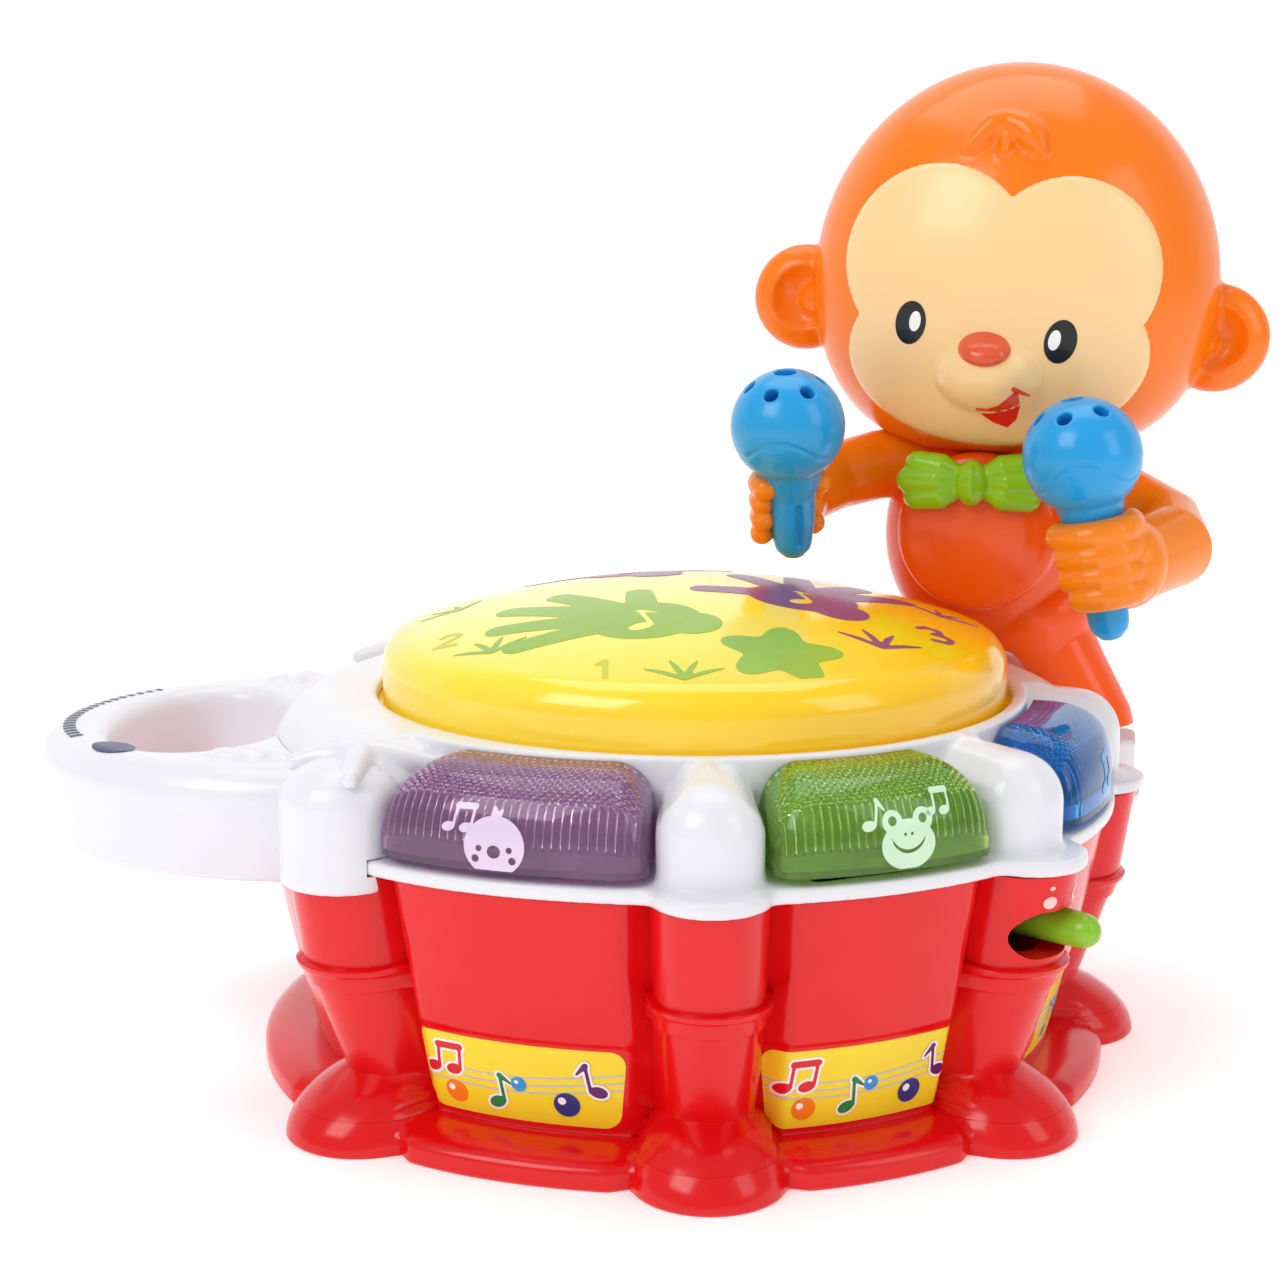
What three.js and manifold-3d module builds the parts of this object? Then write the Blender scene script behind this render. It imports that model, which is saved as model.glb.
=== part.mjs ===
// Electronic baby drum with a swinging monkey.
// Millimetres. +Z is up, the front of the drum faces -Y and the carrying handle points to -X.
// The origin is on the drum's axis, in the plane that the base rests on.

import * as THREE from 'three';
import { mergeVertices } from 'three/addons/utils/BufferGeometryUtils.js';
import Module from 'manifold-3d';

const wasm = await Module();
wasm.setup();

// ---------------------------------------------------------------- driving dimensions

const GAP = 0.3; // between pieces that touch
const WALL = 2.4; // moulded wall thickness

// Columns stand round the drum at these angles, and the handle takes the place of one at 180.
const COLUMN_ANGLES = [-139.5, -90, -45, 0, 45, 90, 139.5];
const HANDLE_SIDE_STRETCH = 0.05; // the drum is a little longer towards the handle
const LENSES = {
  purple: { angle: -114.75, halfAngle: 17.3 },
  green: { angle: -67.5, halfAngle: 15.1 },
  blue: { angle: -22.5, halfAngle: 15.1 },
};

const BASE_TOP_Z = 8;
const SKIRT = { radius: 112, top: 101, shoulderZ: 4 };
const FOOT = { radius: 18.5, height: 19, centre: [104.5, 94.5] }; // centre at the ground and at the top
const PARTING_Z = 69; // where the red case meets the white shell
const PANEL_RADIUS = [98, 111]; // the panels lean outwards from the base to the parting line
const COLLAR_Z = [39, 46];
const COLLAR_STEP = 1;
// Centre and radius of a column at its foot, at the collar and at the parting line.
const COLUMN_CENTRE = [93.5, 105, 108];
const COLUMN_RADIUS = [11, 12.9, 13.5];
const FLANGE = { centre: 109.5, radius: 14.2 }; // round white plate on top of each column
const LEDGE_TOP_Z = 73;
const RIM_Z = 98;
const RIM_THICKNESS = 3;
const RIM_EDGE = 88.2; // outer edge of the rim's flat top
const SHOULDER = { radius: 91, bulge: 20, z: 74 }; // rounded wall between the ledge and the rim
const LEDGE_RADIUS = 113;
const POCKET_RADIUS = 89.5; // back wall of the pockets that hold the lens buttons
const CAP_CENTRE = 104;
const CAP_RADIUS = 12.6;
const CAP_SHOULDER_Z = 84;
const CAP_TOP_Z = 96.2;
const WELL_RADIUS = 85.5;

const PAD_RADIUS = 84;
const PAD_SHOULDER_Z = 107;
const PAD_TOP_Z = 126;
const PAD_FLANGE_Z = [92.2, 94.6];
const PAD_FLANGE_RADIUS = 86;
const SPRING_RING = 80; // distance of the pad springs from the axis

const LENS_BOTTOM_Z = 75;
const LENS_TOP_Z = 97.2;
const STEM_RING = 100; // distance of the button stems from the axis

const BOARD_Z = [58, 59.6];
const BOARD_RADIUS = 102.5;
const TRAY_Z = [76, 78];
const SCREW_RING = 94.5;
const SCREW_ANGLES = [0, 90, 139.5, -139.5, -90];

const SWITCH_ANGLE = -45;
const SWITCH_Z = 54;
const SWITCH_TRAVEL = 10;

const HANDLE_Z = [61, 89];
const HANDLE_CENTRE_X = -96;
const HANDLE_SIZE = [80, 66];
const GRIP_HOLE_X = -133;
const GRIP_HOLE_SIZE = [24, 39];
const HANDLE_END_X = -88; // the handle's arms end here, inside the outline of the drum

const BATTERY_RADIUS = 7.2;
const BATTERY_LENGTH = 50;
const BATTERY_BAY = { x: [-31.6, 31.6], y: [-58.5, -25.5], top: 20.5 };

// The monkey stands on a pivot beside the drum and looks across the pad.
const PIVOT = new THREE.Vector3(120, 52, 73);
const MONKEY_TURN = -14; // degrees about the vertical, from facing straight ahead
const PIN_DROP = 8; // the pivot pin lies this far below the top of the socket
// The head is egg-shaped, with full cheeks below its widest place.
const HEAD = { centre: [-26, 0, 131], halfWidth: 58, halfDepth: 44, up: 62.4, down: 49, jaw: 0.32 };
const TORSO = { centre: [-33, 2, 58], radii: [29, 24, 35] };
const HIP = { centre: [-18, 3, 33], radii: [18, 17, 20] };
const MARACA_RADIUS = 15.8;

// ---------------------------------------------------------------- materials

function plastic(name, colour, roughness = 0.3) {
  return new THREE.MeshStandardMaterial({ name, color: colour, roughness, metalness: 0 });
}

function metal(name, colour, roughness = 0.35) {
  return new THREE.MeshStandardMaterial({ name, color: colour, roughness, metalness: 1 });
}

const WHITE = plastic('white_plastic', 0xfafafc);
const RED = plastic('red_plastic', 0xdc0f14);
const YELLOW = plastic('yellow_translucent', 0xffdc14, 0.2);
const PURPLE = plastic('purple_lens', 0x965091, 0.12);
const LENS_GREEN = plastic('green_lens', 0x6ec81e, 0.12);
const BLUE_LENS = plastic('blue_lens', 0x0078e6, 0.12);
const ORANGE = plastic('orange_plastic', 0xff7800);
const BODY_ORANGE = plastic('deep_orange_plastic', 0xff550a);
const TAN = plastic('tan_plastic', 0xfcd296);
const LEAF = plastic('leaf_green_plastic', 0x96cd1e);
const SKY = plastic('sky_blue_plastic', 0x1ea5e1);
const KNOB_GREEN = plastic('knob_green_plastic', 0x8cc328);
const BOARD_GREEN = plastic('circuit_board', 0x1f6b3a, 0.6);
const BLACK = plastic('black_plastic', 0x1c1c1e, 0.5);
const RUBBER = plastic('silicone_rubber', 0xb9bdc2, 0.8);
const LED_CLEAR = plastic('led_epoxy', 0xeef4ff, 0.1);
const CELL = plastic('battery_sleeve', 0x2f5a8c, 0.4);
const STEEL = metal('zinc_plated_steel', 0xc2c5c9);

// ---------------------------------------------------------------- geometry helpers

const radians = (degrees) => (degrees * Math.PI) / 180;

// Welds a geometry to positions and index, drops flat slivers and turns its faces outwards.
function weld(geometry) {
  const bare = geometry.clone();
  bare.deleteAttribute('uv');
  bare.deleteAttribute('normal');
  const welded = mergeVertices(bare, 1e-4);
  const index = [];
  const source = welded.index.array;
  for (let i = 0; i < source.length; i += 3) {
    const [a, b, c] = [source[i], source[i + 1], source[i + 2]];
    if (a !== b && b !== c && c !== a) index.push(a, b, c);
  }
  if (signedVolume(welded.attributes.position, index) < 0) index.reverse();
  welded.setIndex(index);
  return welded;
}

function signedVolume(position, index) {
  const corners = [new THREE.Vector3(), new THREE.Vector3(), new THREE.Vector3()];
  let volume = 0;
  for (let i = 0; i < index.length; i += 3) {
    corners.forEach((corner, k) => corner.fromBufferAttribute(position, index[i + k]));
    volume += corners[0].dot(corners[1].clone().cross(corners[2])) / 6;
  }
  return volume;
}

function solid(geometry) {
  const welded = weld(geometry);
  const vertProperties = new Float32Array(welded.attributes.position.array);
  const triVerts = new Uint32Array(welded.index.array);
  return new wasm.Manifold(new wasm.Mesh({ numProp: 3, vertProperties, triVerts }));
}

function shape(manifold) {
  const mesh = manifold.getMesh();
  const geometry = new THREE.BufferGeometry();
  const positions = new THREE.BufferAttribute(new Float32Array(mesh.vertProperties), 3);
  geometry.setAttribute('position', positions);
  geometry.setIndex(Array.from(mesh.triVerts));
  return geometry;
}

const join = (...solids) => solids.reduce((sum, next) => sum.add(next));
const cut = (first, ...tools) => tools.reduce((rest, tool) => rest.subtract(tool), first);

// A skin through a row of equal rings of points. An open row is closed by a fan at each end.
function loft(rings, closed) {
  const count = rings[0].length;
  const positions = rings.flat().flatMap((point) => [point.x, point.y, point.z]);
  const index = [];
  const spans = closed ? rings.length : rings.length - 1;
  for (let i = 0; i < spans; i += 1) {
    const next = (i + 1) % rings.length;
    for (let j = 0; j < count; j += 1) {
      const k = (j + 1) % count;
      index.push(i * count + j, next * count + j, next * count + k);
      index.push(i * count + j, next * count + k, i * count + k);
    }
  }
  if (!closed) {
    const last = (rings.length - 1) * count;
    for (let j = 1; j < count - 1; j += 1) {
      index.push(0, j, j + 1);
      index.push(last, last + j + 1, last + j);
    }
  }
  const geometry = new THREE.BufferGeometry();
  geometry.setAttribute('position', new THREE.Float32BufferAttribute(positions, 3));
  geometry.setIndex(index);
  return weld(geometry);
}

function polarRing(profile, angle) {
  const [cos, sin] = [Math.cos(radians(angle)), Math.sin(radians(angle))];
  return profile.map(([radius, z]) => new THREE.Vector3(radius * cos, radius * sin, z));
}

function loftAround(profileAt, angles) {
  return loft(angles.map((angle) => polarRing(profileAt(angle), angle)), true);
}

function box(x, y, z) {
  const geometry = new THREE.BoxGeometry(x[1] - x[0], y[1] - y[0], z[1] - z[0]);
  return geometry.translate((x[0] + x[1]) / 2, (y[0] + y[1]) / 2, (z[0] + z[1]) / 2);
}

function turned(profile, segments = 16) {
  const points = profile.map(([radius, z]) => new THREE.Vector2(radius, z));
  return new THREE.LatheGeometry(points, segments).rotateX(Math.PI / 2);
}

function rod(radius, z, x = 0, y = 0, segments = 14) {
  const geometry = new THREE.CylinderGeometry(radius, radius, z[1] - z[0], segments);
  return geometry.rotateX(Math.PI / 2).translate(x, y, (z[0] + z[1]) / 2);
}

// A round bar between two points, with its own radius at each end.
function taper(start, end, startRadius, endRadius, segments = 12) {
  const from = new THREE.Vector3(...start);
  const to = new THREE.Vector3(...end);
  const length = from.distanceTo(to);
  const geometry = new THREE.CylinderGeometry(endRadius, startRadius, length, segments);
  const direction = to.clone().sub(from).normalize();
  const turn = new THREE.Quaternion().setFromUnitVectors(new THREE.Vector3(0, 1, 0), direction);
  const middle = from.add(to).multiplyScalar(0.5);
  return geometry.applyQuaternion(turn).translate(middle.x, middle.y, middle.z);
}

function ellipsoid({ centre, radii }, grow, segments) {
  const geometry = new THREE.SphereGeometry(1, ...segments).rotateX(Math.PI / 2);
  geometry.scale(radii[0] + grow, radii[1] + grow, radii[2] + grow);
  return geometry.translate(...centre);
}

// Turns a shape made at angle 0, along +X, to another angle round the drum.
const swing = (geometry, angle) => geometry.rotateZ(radians(angle));

// ---------------------------------------------------------------- scene graph

const object = new THREE.Group();
const monkey = new THREE.Group();
monkey.position.copy(PIVOT);
monkey.rotation.z = radians(MONKEY_TURN);
object.add(monkey);

function add(name, geometry, material, parent = object) {
  const plain = weld(geometry);
  plain.computeVertexNormals();
  const mesh = new THREE.Mesh(plain, material);
  mesh.name = name;
  parent.add(mesh);
  return mesh;
}

// ---------------------------------------------------------------- drum outline

// The signed difference between two directions, from -180 to 180 degrees.
const between = (angle, other) => ((((angle - other) % 360) + 540) % 360) - 180;

function offsetFromColumn(angle) {
  const offsets = COLUMN_ANGLES.map((column) => between(angle, column));
  return offsets.reduce((least, next) => (Math.abs(next) < Math.abs(least) ? next : least));
}

// Distance from the axis to the outside of a round column, or 0 where the column isn't.
function columnReach(angle, centre, radius) {
  const offset = radians(offsetFromColumn(angle));
  const inner = radius ** 2 - (centre * Math.sin(offset)) ** 2;
  return inner <= 0 ? 0 : centre * Math.cos(offset) + Math.sqrt(inner);
}

function stretch(angle) {
  const t = Math.min(1, Math.max(0, (Math.abs(between(angle, 0)) - 95) / 45));
  return 1 + HANDLE_SIDE_STRETCH * t * t * (3 - 2 * t);
}

const mix = (from, to, t) => from + (to - from) * t;

// Each column stands in a domed foot.
function footReach(angle, z) {
  const up = Math.min(1, z / FOOT.height);
  return columnReach(angle, mix(...FOOT.centre, up ** 2), FOOT.radius * Math.sqrt(1 - up ** 2));
}

function caseOutline(angle, z) {
  const height = Math.max(0, (z - BASE_TOP_Z) / (PARTING_Z - BASE_TOP_Z));
  const panel = mix(...PANEL_RADIUS, height ** 0.9);
  const part = z < COLLAR_Z[1] ? 0 : 1; // below or above the top of the collar
  const [from, to] = part === 0 ? [BASE_TOP_Z, COLLAR_Z[1]] : [COLLAR_Z[1], PARTING_Z];
  const rise = (z - from) / (to - from);
  const centre = mix(COLUMN_CENTRE[part], COLUMN_CENTRE[part + 1], rise);
  const shaft = mix(COLUMN_RADIUS[part], COLUMN_RADIUS[part + 1], rise);
  const collar = z >= COLLAR_Z[0] && z <= COLLAR_Z[1] ? COLLAR_STEP : 0;
  const column = columnReach(angle, centre, shaft + collar);
  return stretch(angle) * Math.max(panel, column, footReach(angle, z));
}

function baseOutline(angle, z) {
  const chamfer = Math.max(0, (z - SKIRT.shoulderZ) / (BASE_TOP_Z - SKIRT.shoulderZ));
  return stretch(angle) * Math.max(mix(SKIRT.radius, SKIRT.top, chamfer), footReach(angle, z));
}

// Each pocket runs right up to the columns beside its lens.
const POCKET_MARGIN = 7.4; // degrees
const nearLens = (angle) => Object.values(LENSES).some((lens) => (
  Math.abs(between(angle, lens.angle)) < lens.halfAngle + POCKET_MARGIN));

function shellOutline(angle, z) {
  if (z <= LEDGE_TOP_Z) {
    return stretch(angle) * Math.max(LEDGE_RADIUS, columnReach(angle, FLANGE.centre, FLANGE.radius));
  }
  const up = (z - SHOULDER.z) / (RIM_Z - SHOULDER.z);
  const shoulder = SHOULDER.radius + SHOULDER.bulge * Math.sqrt(Math.max(0, 1 - up ** 2));
  const wall = nearLens(angle) ? POCKET_RADIUS : shoulder;
  const dome = Math.max(0, (z - CAP_SHOULDER_Z) / (CAP_TOP_Z - CAP_SHOULDER_Z));
  const cap = CAP_RADIUS * Math.sqrt(Math.max(0, 1 - dome ** 2));
  return stretch(angle) * Math.max(wall, columnReach(angle, CAP_CENTRE, cap));
}

// The inside of a wall: the outline pulled in by the wall thickness along and across.
function inside(outline, angle, z, rise = 0) {
  const reach = 1.4; // degrees, about one wall thickness at the drum's radius
  const around = [-reach, 0, reach].flatMap((step) => [
    outline(angle + step, z),
    outline(angle + step, z + rise),
  ]);
  return Math.min(...around) - WALL;
}

const COLUMN_SAMPLES = [-10.2, -7.5, -6.5, -3.6, 0, 3.6, 6.5, 7.5, 10.2];
const PANEL_ANGLES = [22.5, 67.5, 109, 120.5, 155, 167.5, 180, 192.5, 205, 239.5, 251, 292.5, 337.5];
const ANGLES = COLUMN_ANGLES.flatMap((column) => COLUMN_SAMPLES.map((sample) => column + sample));
PANEL_ANGLES.forEach((angle) => ANGLES.push(angle));
ANGLES.forEach((angle, i) => { ANGLES[i] = (angle + 360) % 360; });
ANGLES.sort((a, b) => a - b);

// ---------------------------------------------------------------- base plate and battery bay

const screwPlaces = SCREW_ANGLES.map((angle) => [
  SCREW_RING * stretch(angle) * Math.cos(radians(angle)),
  SCREW_RING * stretch(angle) * Math.sin(radians(angle)),
]);
const DOOR_SCREW = [40.5, -42];
const DOOR_END = 45.6;
const SPEAKER = { x: -30, y: 38, radius: 25 };

// One hole in the middle of the speaker and a ring of eight round it.
function speakerHoles() {
  const ring = 13;
  const places = [[SPEAKER.x, SPEAKER.y]];
  for (let turn = 0; turn < 360; turn += 45) {
    places.push([SPEAKER.x + ring * Math.cos(radians(turn)), SPEAKER.y + ring * Math.sin(radians(turn))]);
  }
  return places.map(([x, y]) => solid(rod(2.4, [-1, WALL + 1], x, y, 8)));
}

function basePlate() {
  const heights = [0, SKIRT.shoulderZ, BASE_TOP_Z];
  const dish = loftAround((angle) => {
    const outer = heights.map((z) => [baseOutline(angle, z), z]);
    const inner = [BASE_TOP_Z, SKIRT.shoulderZ, WALL].map((z) => [inside(baseOutline, angle, z), z]);
    return [[0, 0], ...outer, ...inner, [0, WALL]];
  }, ANGLES);
  const { x, y, top } = BATTERY_BAY;
  const bay = box([x[0] - 2, x[1] + 2], [y[0] - 2, y[1] + 2], [1, top + 2]);
  const boss = box([x[1], DOOR_SCREW[0] + 5.5], [DOOR_SCREW[1] - 5.5, DOOR_SCREW[1] + 5.5], [1, 18]);
  const posts = screwPlaces.map(([px, py]) => solid(rod(5.2, [1, BOARD_Z[0] - GAP], px, py, 10)));
  const body = join(solid(dish), solid(bay), solid(boss), ...posts);
  const floorHole = box([x[0] - 1, DOOR_END + 0.4], [y[0] - 1, y[1] + 1], [-1, WALL + 0.1]);
  const tools = [solid(box(x, y, [-1, top])), solid(floorHole)];
  tools.push(solid(rod(1.65, [-1, 15], ...DOOR_SCREW)));
  screwPlaces.forEach(([px, py]) => {
    tools.push(solid(rod(3.9, [-1, 40], px, py, 10)));
    tools.push(solid(rod(1.8, [-1, BOARD_Z[0] + 1], px, py, 8)));
  });
  tools.push(...speakerHoles());
  return shape(cut(body, ...tools));
}

function batteryDoor() {
  const { x, y } = BATTERY_BAY;
  const plate = box([x[0] - 0.7, DOOR_END], [y[0] - 0.7, y[1] + 0.7], [0.4, 2.2]);
  const recess = rod(3.6, [0, 1.85], ...DOOR_SCREW);
  const hole = rod(1.9, [0, 4], ...DOOR_SCREW);
  return shape(cut(solid(plate), solid(recess), solid(hole)));
}

// A screw with its head at the bottom, as every screw goes in from below.
function screw(length) {
  const [head, shank] = [3.2, 1.5];
  return turned([[0, 0], [head, 0], [head, 1.2], [shank, 1.4], [shank, length - 1], [0, length]], 10);
}

add('base_plate', basePlate(), RED);
add('battery_door', batteryDoor(), RED);
add('battery_door_screw', screw(12).translate(...DOOR_SCREW, 0.45), STEEL);

const bayMiddle = (BATTERY_BAY.y[0] + BATTERY_BAY.y[1]) / 2;
[-1, 1].forEach((side, i) => {
  const half = BATTERY_LENGTH / 2;
  const [button, step] = [2.6, half - 1.5]; // radius and foot of the raised end
  const cell = turned([[0, -half], [BATTERY_RADIUS, -half], [BATTERY_RADIUS, step],
    [button, step], [button, half], [0, half]], 20);
  cell.rotateY((side * Math.PI) / 2);
  add(`battery_${i + 1}`, cell.translate(0, bayMiddle + side * 8, 12), CELL);
});

function contact(y, x) {
  return box(x, y, [6, 18]);
}
add('battery_contact_link', contact([bayMiddle - 13, bayMiddle + 13], [-31.3, -30.6]), STEEL);
add('battery_contact_positive', contact([bayMiddle - 13, bayMiddle - 3], [30.6, 31.3]), STEEL);
add('battery_contact_negative', contact([bayMiddle + 3, bayMiddle + 13], [30.6, 31.3]), STEEL);

const cone = turned([[0, 0], [15, 0], [SPEAKER.radius - 1, 0], [SPEAKER.radius, 1], [SPEAKER.radius, 3],
  [16, 9], [12, 9], [12, 15], [0, 15]], 24);
add('speaker', cone.translate(SPEAKER.x, SPEAKER.y, WALL + GAP), BLACK);

// ---------------------------------------------------------------- red case

function lowerCase() {
  const step = 0.01; // the collar starts and ends square
  const heights = [BASE_TOP_Z + GAP, 11.5, 15, COLLAR_Z[0] - step, COLLAR_Z[0],
    COLLAR_Z[1], COLLAR_Z[1] + step, 58, PARTING_Z - GAP / 2];
  const wall = loftAround((angle) => {
    const outer = heights.map((z) => [caseOutline(angle, z), z]);
    const inner = [heights.at(-1), 50, 36, 15, heights[0]].map((z) => [inside(caseOutline, angle, z), z]);
    return [...outer, ...inner];
  }, ANGLES);
  const slot = new THREE.Shape();
  const half = SWITCH_TRAVEL / 2 + 0.5;
  const end = 6; // radius of the slot's round ends
  slot.absarc(half, 0, end, -Math.PI / 2, Math.PI / 2);
  slot.absarc(-half, 0, end, Math.PI / 2, (3 * Math.PI) / 2);
  const window = new THREE.ExtrudeGeometry(slot, { depth: 30, bevelEnabled: false, curveSegments: 8 });
  window.rotateX(Math.PI / 2).rotateZ(Math.PI / 2).translate(98, 0, SWITCH_Z);
  return shape(cut(solid(wall), solid(swing(window, SWITCH_ANGLE))));
}
add('lower_case', lowerCase(), RED);

// The knob is drawn at one end of its travel. Its back plate stays behind the slot all the way.
function powerKnob() {
  const plate = box([95.5, 97.5], [-12, 12], [SWITCH_Z - 7.5, SWITCH_Z + 7.5]);
  const peg = taper([97, 0, SWITCH_Z], [124, 0, SWITCH_Z], 4.6, 4.4, 14);
  const tip = ellipsoid({ centre: [124, 0, SWITCH_Z], radii: [3, 4.4, 4.4] }, 0, [14, 8]);
  const knob = join(solid(plate), solid(peg), solid(tip));
  return swing(shape(knob).translate(0, SWITCH_TRAVEL / 2, 0), SWITCH_ANGLE);
}
add('power_switch_knob', powerKnob(), KNOB_GREEN);
const switchBody = box([86, 95], [-9, 9], [SWITCH_Z - 4, BOARD_Z[0] - GAP]);
add('slide_switch_body', swing(switchBody, SWITCH_ANGLE), BLACK);

// ---------------------------------------------------------------- white shell

function shellProfile(angle) {
  const flange = (z) => [shellOutline(angle, LEDGE_TOP_Z), z];
  const heights = [LEDGE_TOP_Z + 0.01, CAP_SHOULDER_Z, 90, 94, CAP_TOP_Z - 0.3];
  const outer = heights.map((z) => [shellOutline(angle, z), z]);
  outer[0][1] = LEDGE_TOP_Z;
  const underRim = RIM_Z - RIM_THICKNESS;
  const inner = [underRim, 90, 82, LEDGE_TOP_Z + 0.01].map((z) => [
    Math.max(87, inside(shellOutline, angle, z, z > 80 ? WALL : 0)), z]);
  inner.at(-1)[1] = LEDGE_TOP_Z - WALL;
  const skirt = inside(shellOutline, angle, LEDGE_TOP_Z);
  return [flange(PARTING_Z + GAP / 2), flange(LEDGE_TOP_Z), ...outer, [RIM_EDGE, RIM_Z],
    [WELL_RADIUS, RIM_Z], [WELL_RADIUS, underRim], ...inner,
    [skirt, LEDGE_TOP_Z - WALL], [skirt, PARTING_Z + GAP / 2]];
}

function upperShell() {
  const bossZ = [BOARD_Z[1] + GAP, RIM_Z - RIM_THICKNESS + 0.2];
  const bosses = screwPlaces.map(([x, y]) => solid(rod(4, bossZ, x, y, 10)));
  const holes = screwPlaces.map(([x, y]) => solid(rod(1.8, [BOARD_Z[1], 74], x, y, 8)));
  const windows = Object.values(LENSES).map(({ angle }) => (
    solid(swing(box([95, 106], [-18, 12], [68, 74]), angle))));
  const body = join(solid(loftAround(shellProfile, ANGLES)), ...bosses);
  return shape(cut(body, ...holes, ...windows));
}
add('upper_shell', upperShell(), WHITE);

screwPlaces.forEach(([x, y], i) => {
  add(`case_screw_${i + 1}`, screw(31.5).translate(x, y, 37.8), STEEL);
});

// Everything that the drum fills, grown by a gap, to trim the pieces that sit against it.
function drumKeepOut() {
  const heights = [40, COLLAR_Z[1] + 0.01, 58, PARTING_Z, LEDGE_TOP_Z];
  const upper = [LEDGE_TOP_Z + 0.01, CAP_SHOULDER_Z, 90, 94, 97.9];
  return solid(loftAround((angle) => {
    const low = heights.map((z) => [(z < PARTING_Z ? caseOutline : shellOutline)(angle, z) + GAP, z]);
    const high = upper.map((z) => [shellOutline(angle, z) + GAP, z + (z > LEDGE_TOP_Z + 1 ? 0 : GAP)]);
    return [[0, 40], ...low, ...high, [0, 97.9]];
  }, ANGLES));
}
const keepOut = drumKeepOut();

// ---------------------------------------------------------------- carrying handle

function ringOutline(inset) {
  const outline = new THREE.Shape();
  outline.absellipse(HANDLE_CENTRE_X, 0, HANDLE_SIZE[0] - inset, HANDLE_SIZE[1] - inset, 0, 2 * Math.PI);
  const hole = new THREE.Path();
  hole.absellipse(GRIP_HOLE_X, 0, GRIP_HOLE_SIZE[0] + inset, GRIP_HOLE_SIZE[1] + inset, 0, 2 * Math.PI);
  outline.holes.push(hole);
  return outline;
}

function carryHandle() {
  const round = 6;
  const outside = new THREE.ExtrudeGeometry(ringOutline(0), {
    depth: HANDLE_Z[1] - HANDLE_Z[0] - 2 * round, curveSegments: 20,
    bevelThickness: round, bevelSize: round, bevelOffset: -round, bevelSegments: 2,
  }).translate(0, 0, HANDLE_Z[0] + round);
  const channel = new THREE.ExtrudeGeometry(ringOutline(WALL + 1), {
    depth: HANDLE_Z[1] - HANDLE_Z[0] - 4, curveSegments: 16, bevelEnabled: false,
  }).translate(0, 0, HANDLE_Z[0] - 1);
  const bridge = box([HANDLE_END_X, 0], [-90, 90], [30, 100]);
  return shape(cut(solid(outside), solid(channel), keepOut, solid(bridge)));
}

function handleCover() {
  const plate = new THREE.ExtrudeGeometry(ringOutline(WALL + 1 + GAP), {
    depth: 2, curveSegments: 16, bevelEnabled: false,
  }).translate(0, 0, HANDLE_Z[0] + 1.5);
  const bridge = box([HANDLE_END_X, 0], [-90, 90], [30, 100]);
  return shape(cut(solid(plate), keepOut, solid(bridge)));
}
add('carry_handle', carryHandle(), WHITE);
add('handle_cover', handleCover(), WHITE);

// ---------------------------------------------------------------- drum pad

// The pad's section from its foot to the crown, pulled in by a wall thickness for the inside.
function padOutline(wall) {
  const shoulder = 9; // radius of the rounded edge
  const centre = [PAD_RADIUS - shoulder, PAD_SHOULDER_Z - 2];
  const points = [[PAD_RADIUS - wall, PAD_FLANGE_Z[1]], [PAD_RADIUS - wall, centre[1]]];
  for (let step = 1; step <= 3; step += 1) {
    const turn = radians(step * 22);
    const reach = shoulder - wall;
    points.push([centre[0] + reach * Math.cos(turn), centre[1] + reach * Math.sin(turn)]);
  }
  const [edgeRadius, edgeZ] = points.at(-1);
  const top = PAD_TOP_Z - wall;
  [0.75, 0.5, 0.25, 0].forEach((part) => points.push([edgeRadius * part, top - (top - edgeZ) * part ** 2]));
  return points;
}

function padProfile() {
  const [low, high] = PAD_FLANGE_Z;
  const inner = 77; // inner edge of the foot, which bears on the springs
  const foot = [[inner, low], [PAD_FLANGE_RADIUS, low], [PAD_FLANGE_RADIUS, high]];
  return [...foot, ...padOutline(0), ...padOutline(WALL).reverse(), [inner, high], [inner, low]];
}
add('drum_pad', turned(padProfile(), 36), YELLOW);

function padTray() {
  const [edge, lip] = [86.5, 84.8]; // outside and inside of the upturned edge
  const lipTop = TRAY_Z[0] + 4;
  const plate = turned([[0, TRAY_Z[0]], [edge, TRAY_Z[0]], [edge, lipTop], [lip, lipTop],
    [lip, TRAY_Z[1]], [0, TRAY_Z[1]]], 32);
  const legs = [60, 180, 300].map((angle) => (
    solid(swing(rod(3.5, [BOARD_Z[1] + GAP, TRAY_Z[0] + 1], 60, 0), angle))));
  return shape(join(solid(plate), ...legs));
}
add('pad_tray', padTray(), WHITE);

class Helix extends THREE.Curve {
  constructor(radius, height, turns) {
    super();
    Object.assign(this, { radius, height, turns });
  }

  getPoint(t, target = new THREE.Vector3()) {
    const turn = t * this.turns * 2 * Math.PI;
    return target.set(this.radius * Math.cos(turn), this.radius * Math.sin(turn), t * this.height);
  }
}

function coilSpring(radius, wire, height, turns) {
  const section = new THREE.Shape().absarc(0, 0, wire / 2, 0, 2 * Math.PI);
  return new THREE.ExtrudeGeometry(section, {
    steps: turns * 7, curveSegments: 2, extrudePath: new Helix(radius, height, turns), bevelEnabled: false,
  });
}

const springHeight = PAD_FLANGE_Z[0] - TRAY_Z[1] - 1.6;
[0, 120, 240].forEach((angle, i) => {
  const spring = coilSpring(2.6, 0.8, springHeight, 5).translate(SPRING_RING, 0, TRAY_Z[1] + 0.8);
  add(`pad_spring_${i + 1}`, swing(spring, angle), STEEL);
});
const padSwitchZ = [TRAY_Z[1] + GAP, PAD_FLANGE_Z[0] - 2.3]; // just out of reach of the pressed pad
const padSwitch = box([SPRING_RING - 3, SPRING_RING + 3], [-3, 3], padSwitchZ);
add('pad_switch', swing(padSwitch, 60), BLACK);

// ---------------------------------------------------------------- lens buttons

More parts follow.
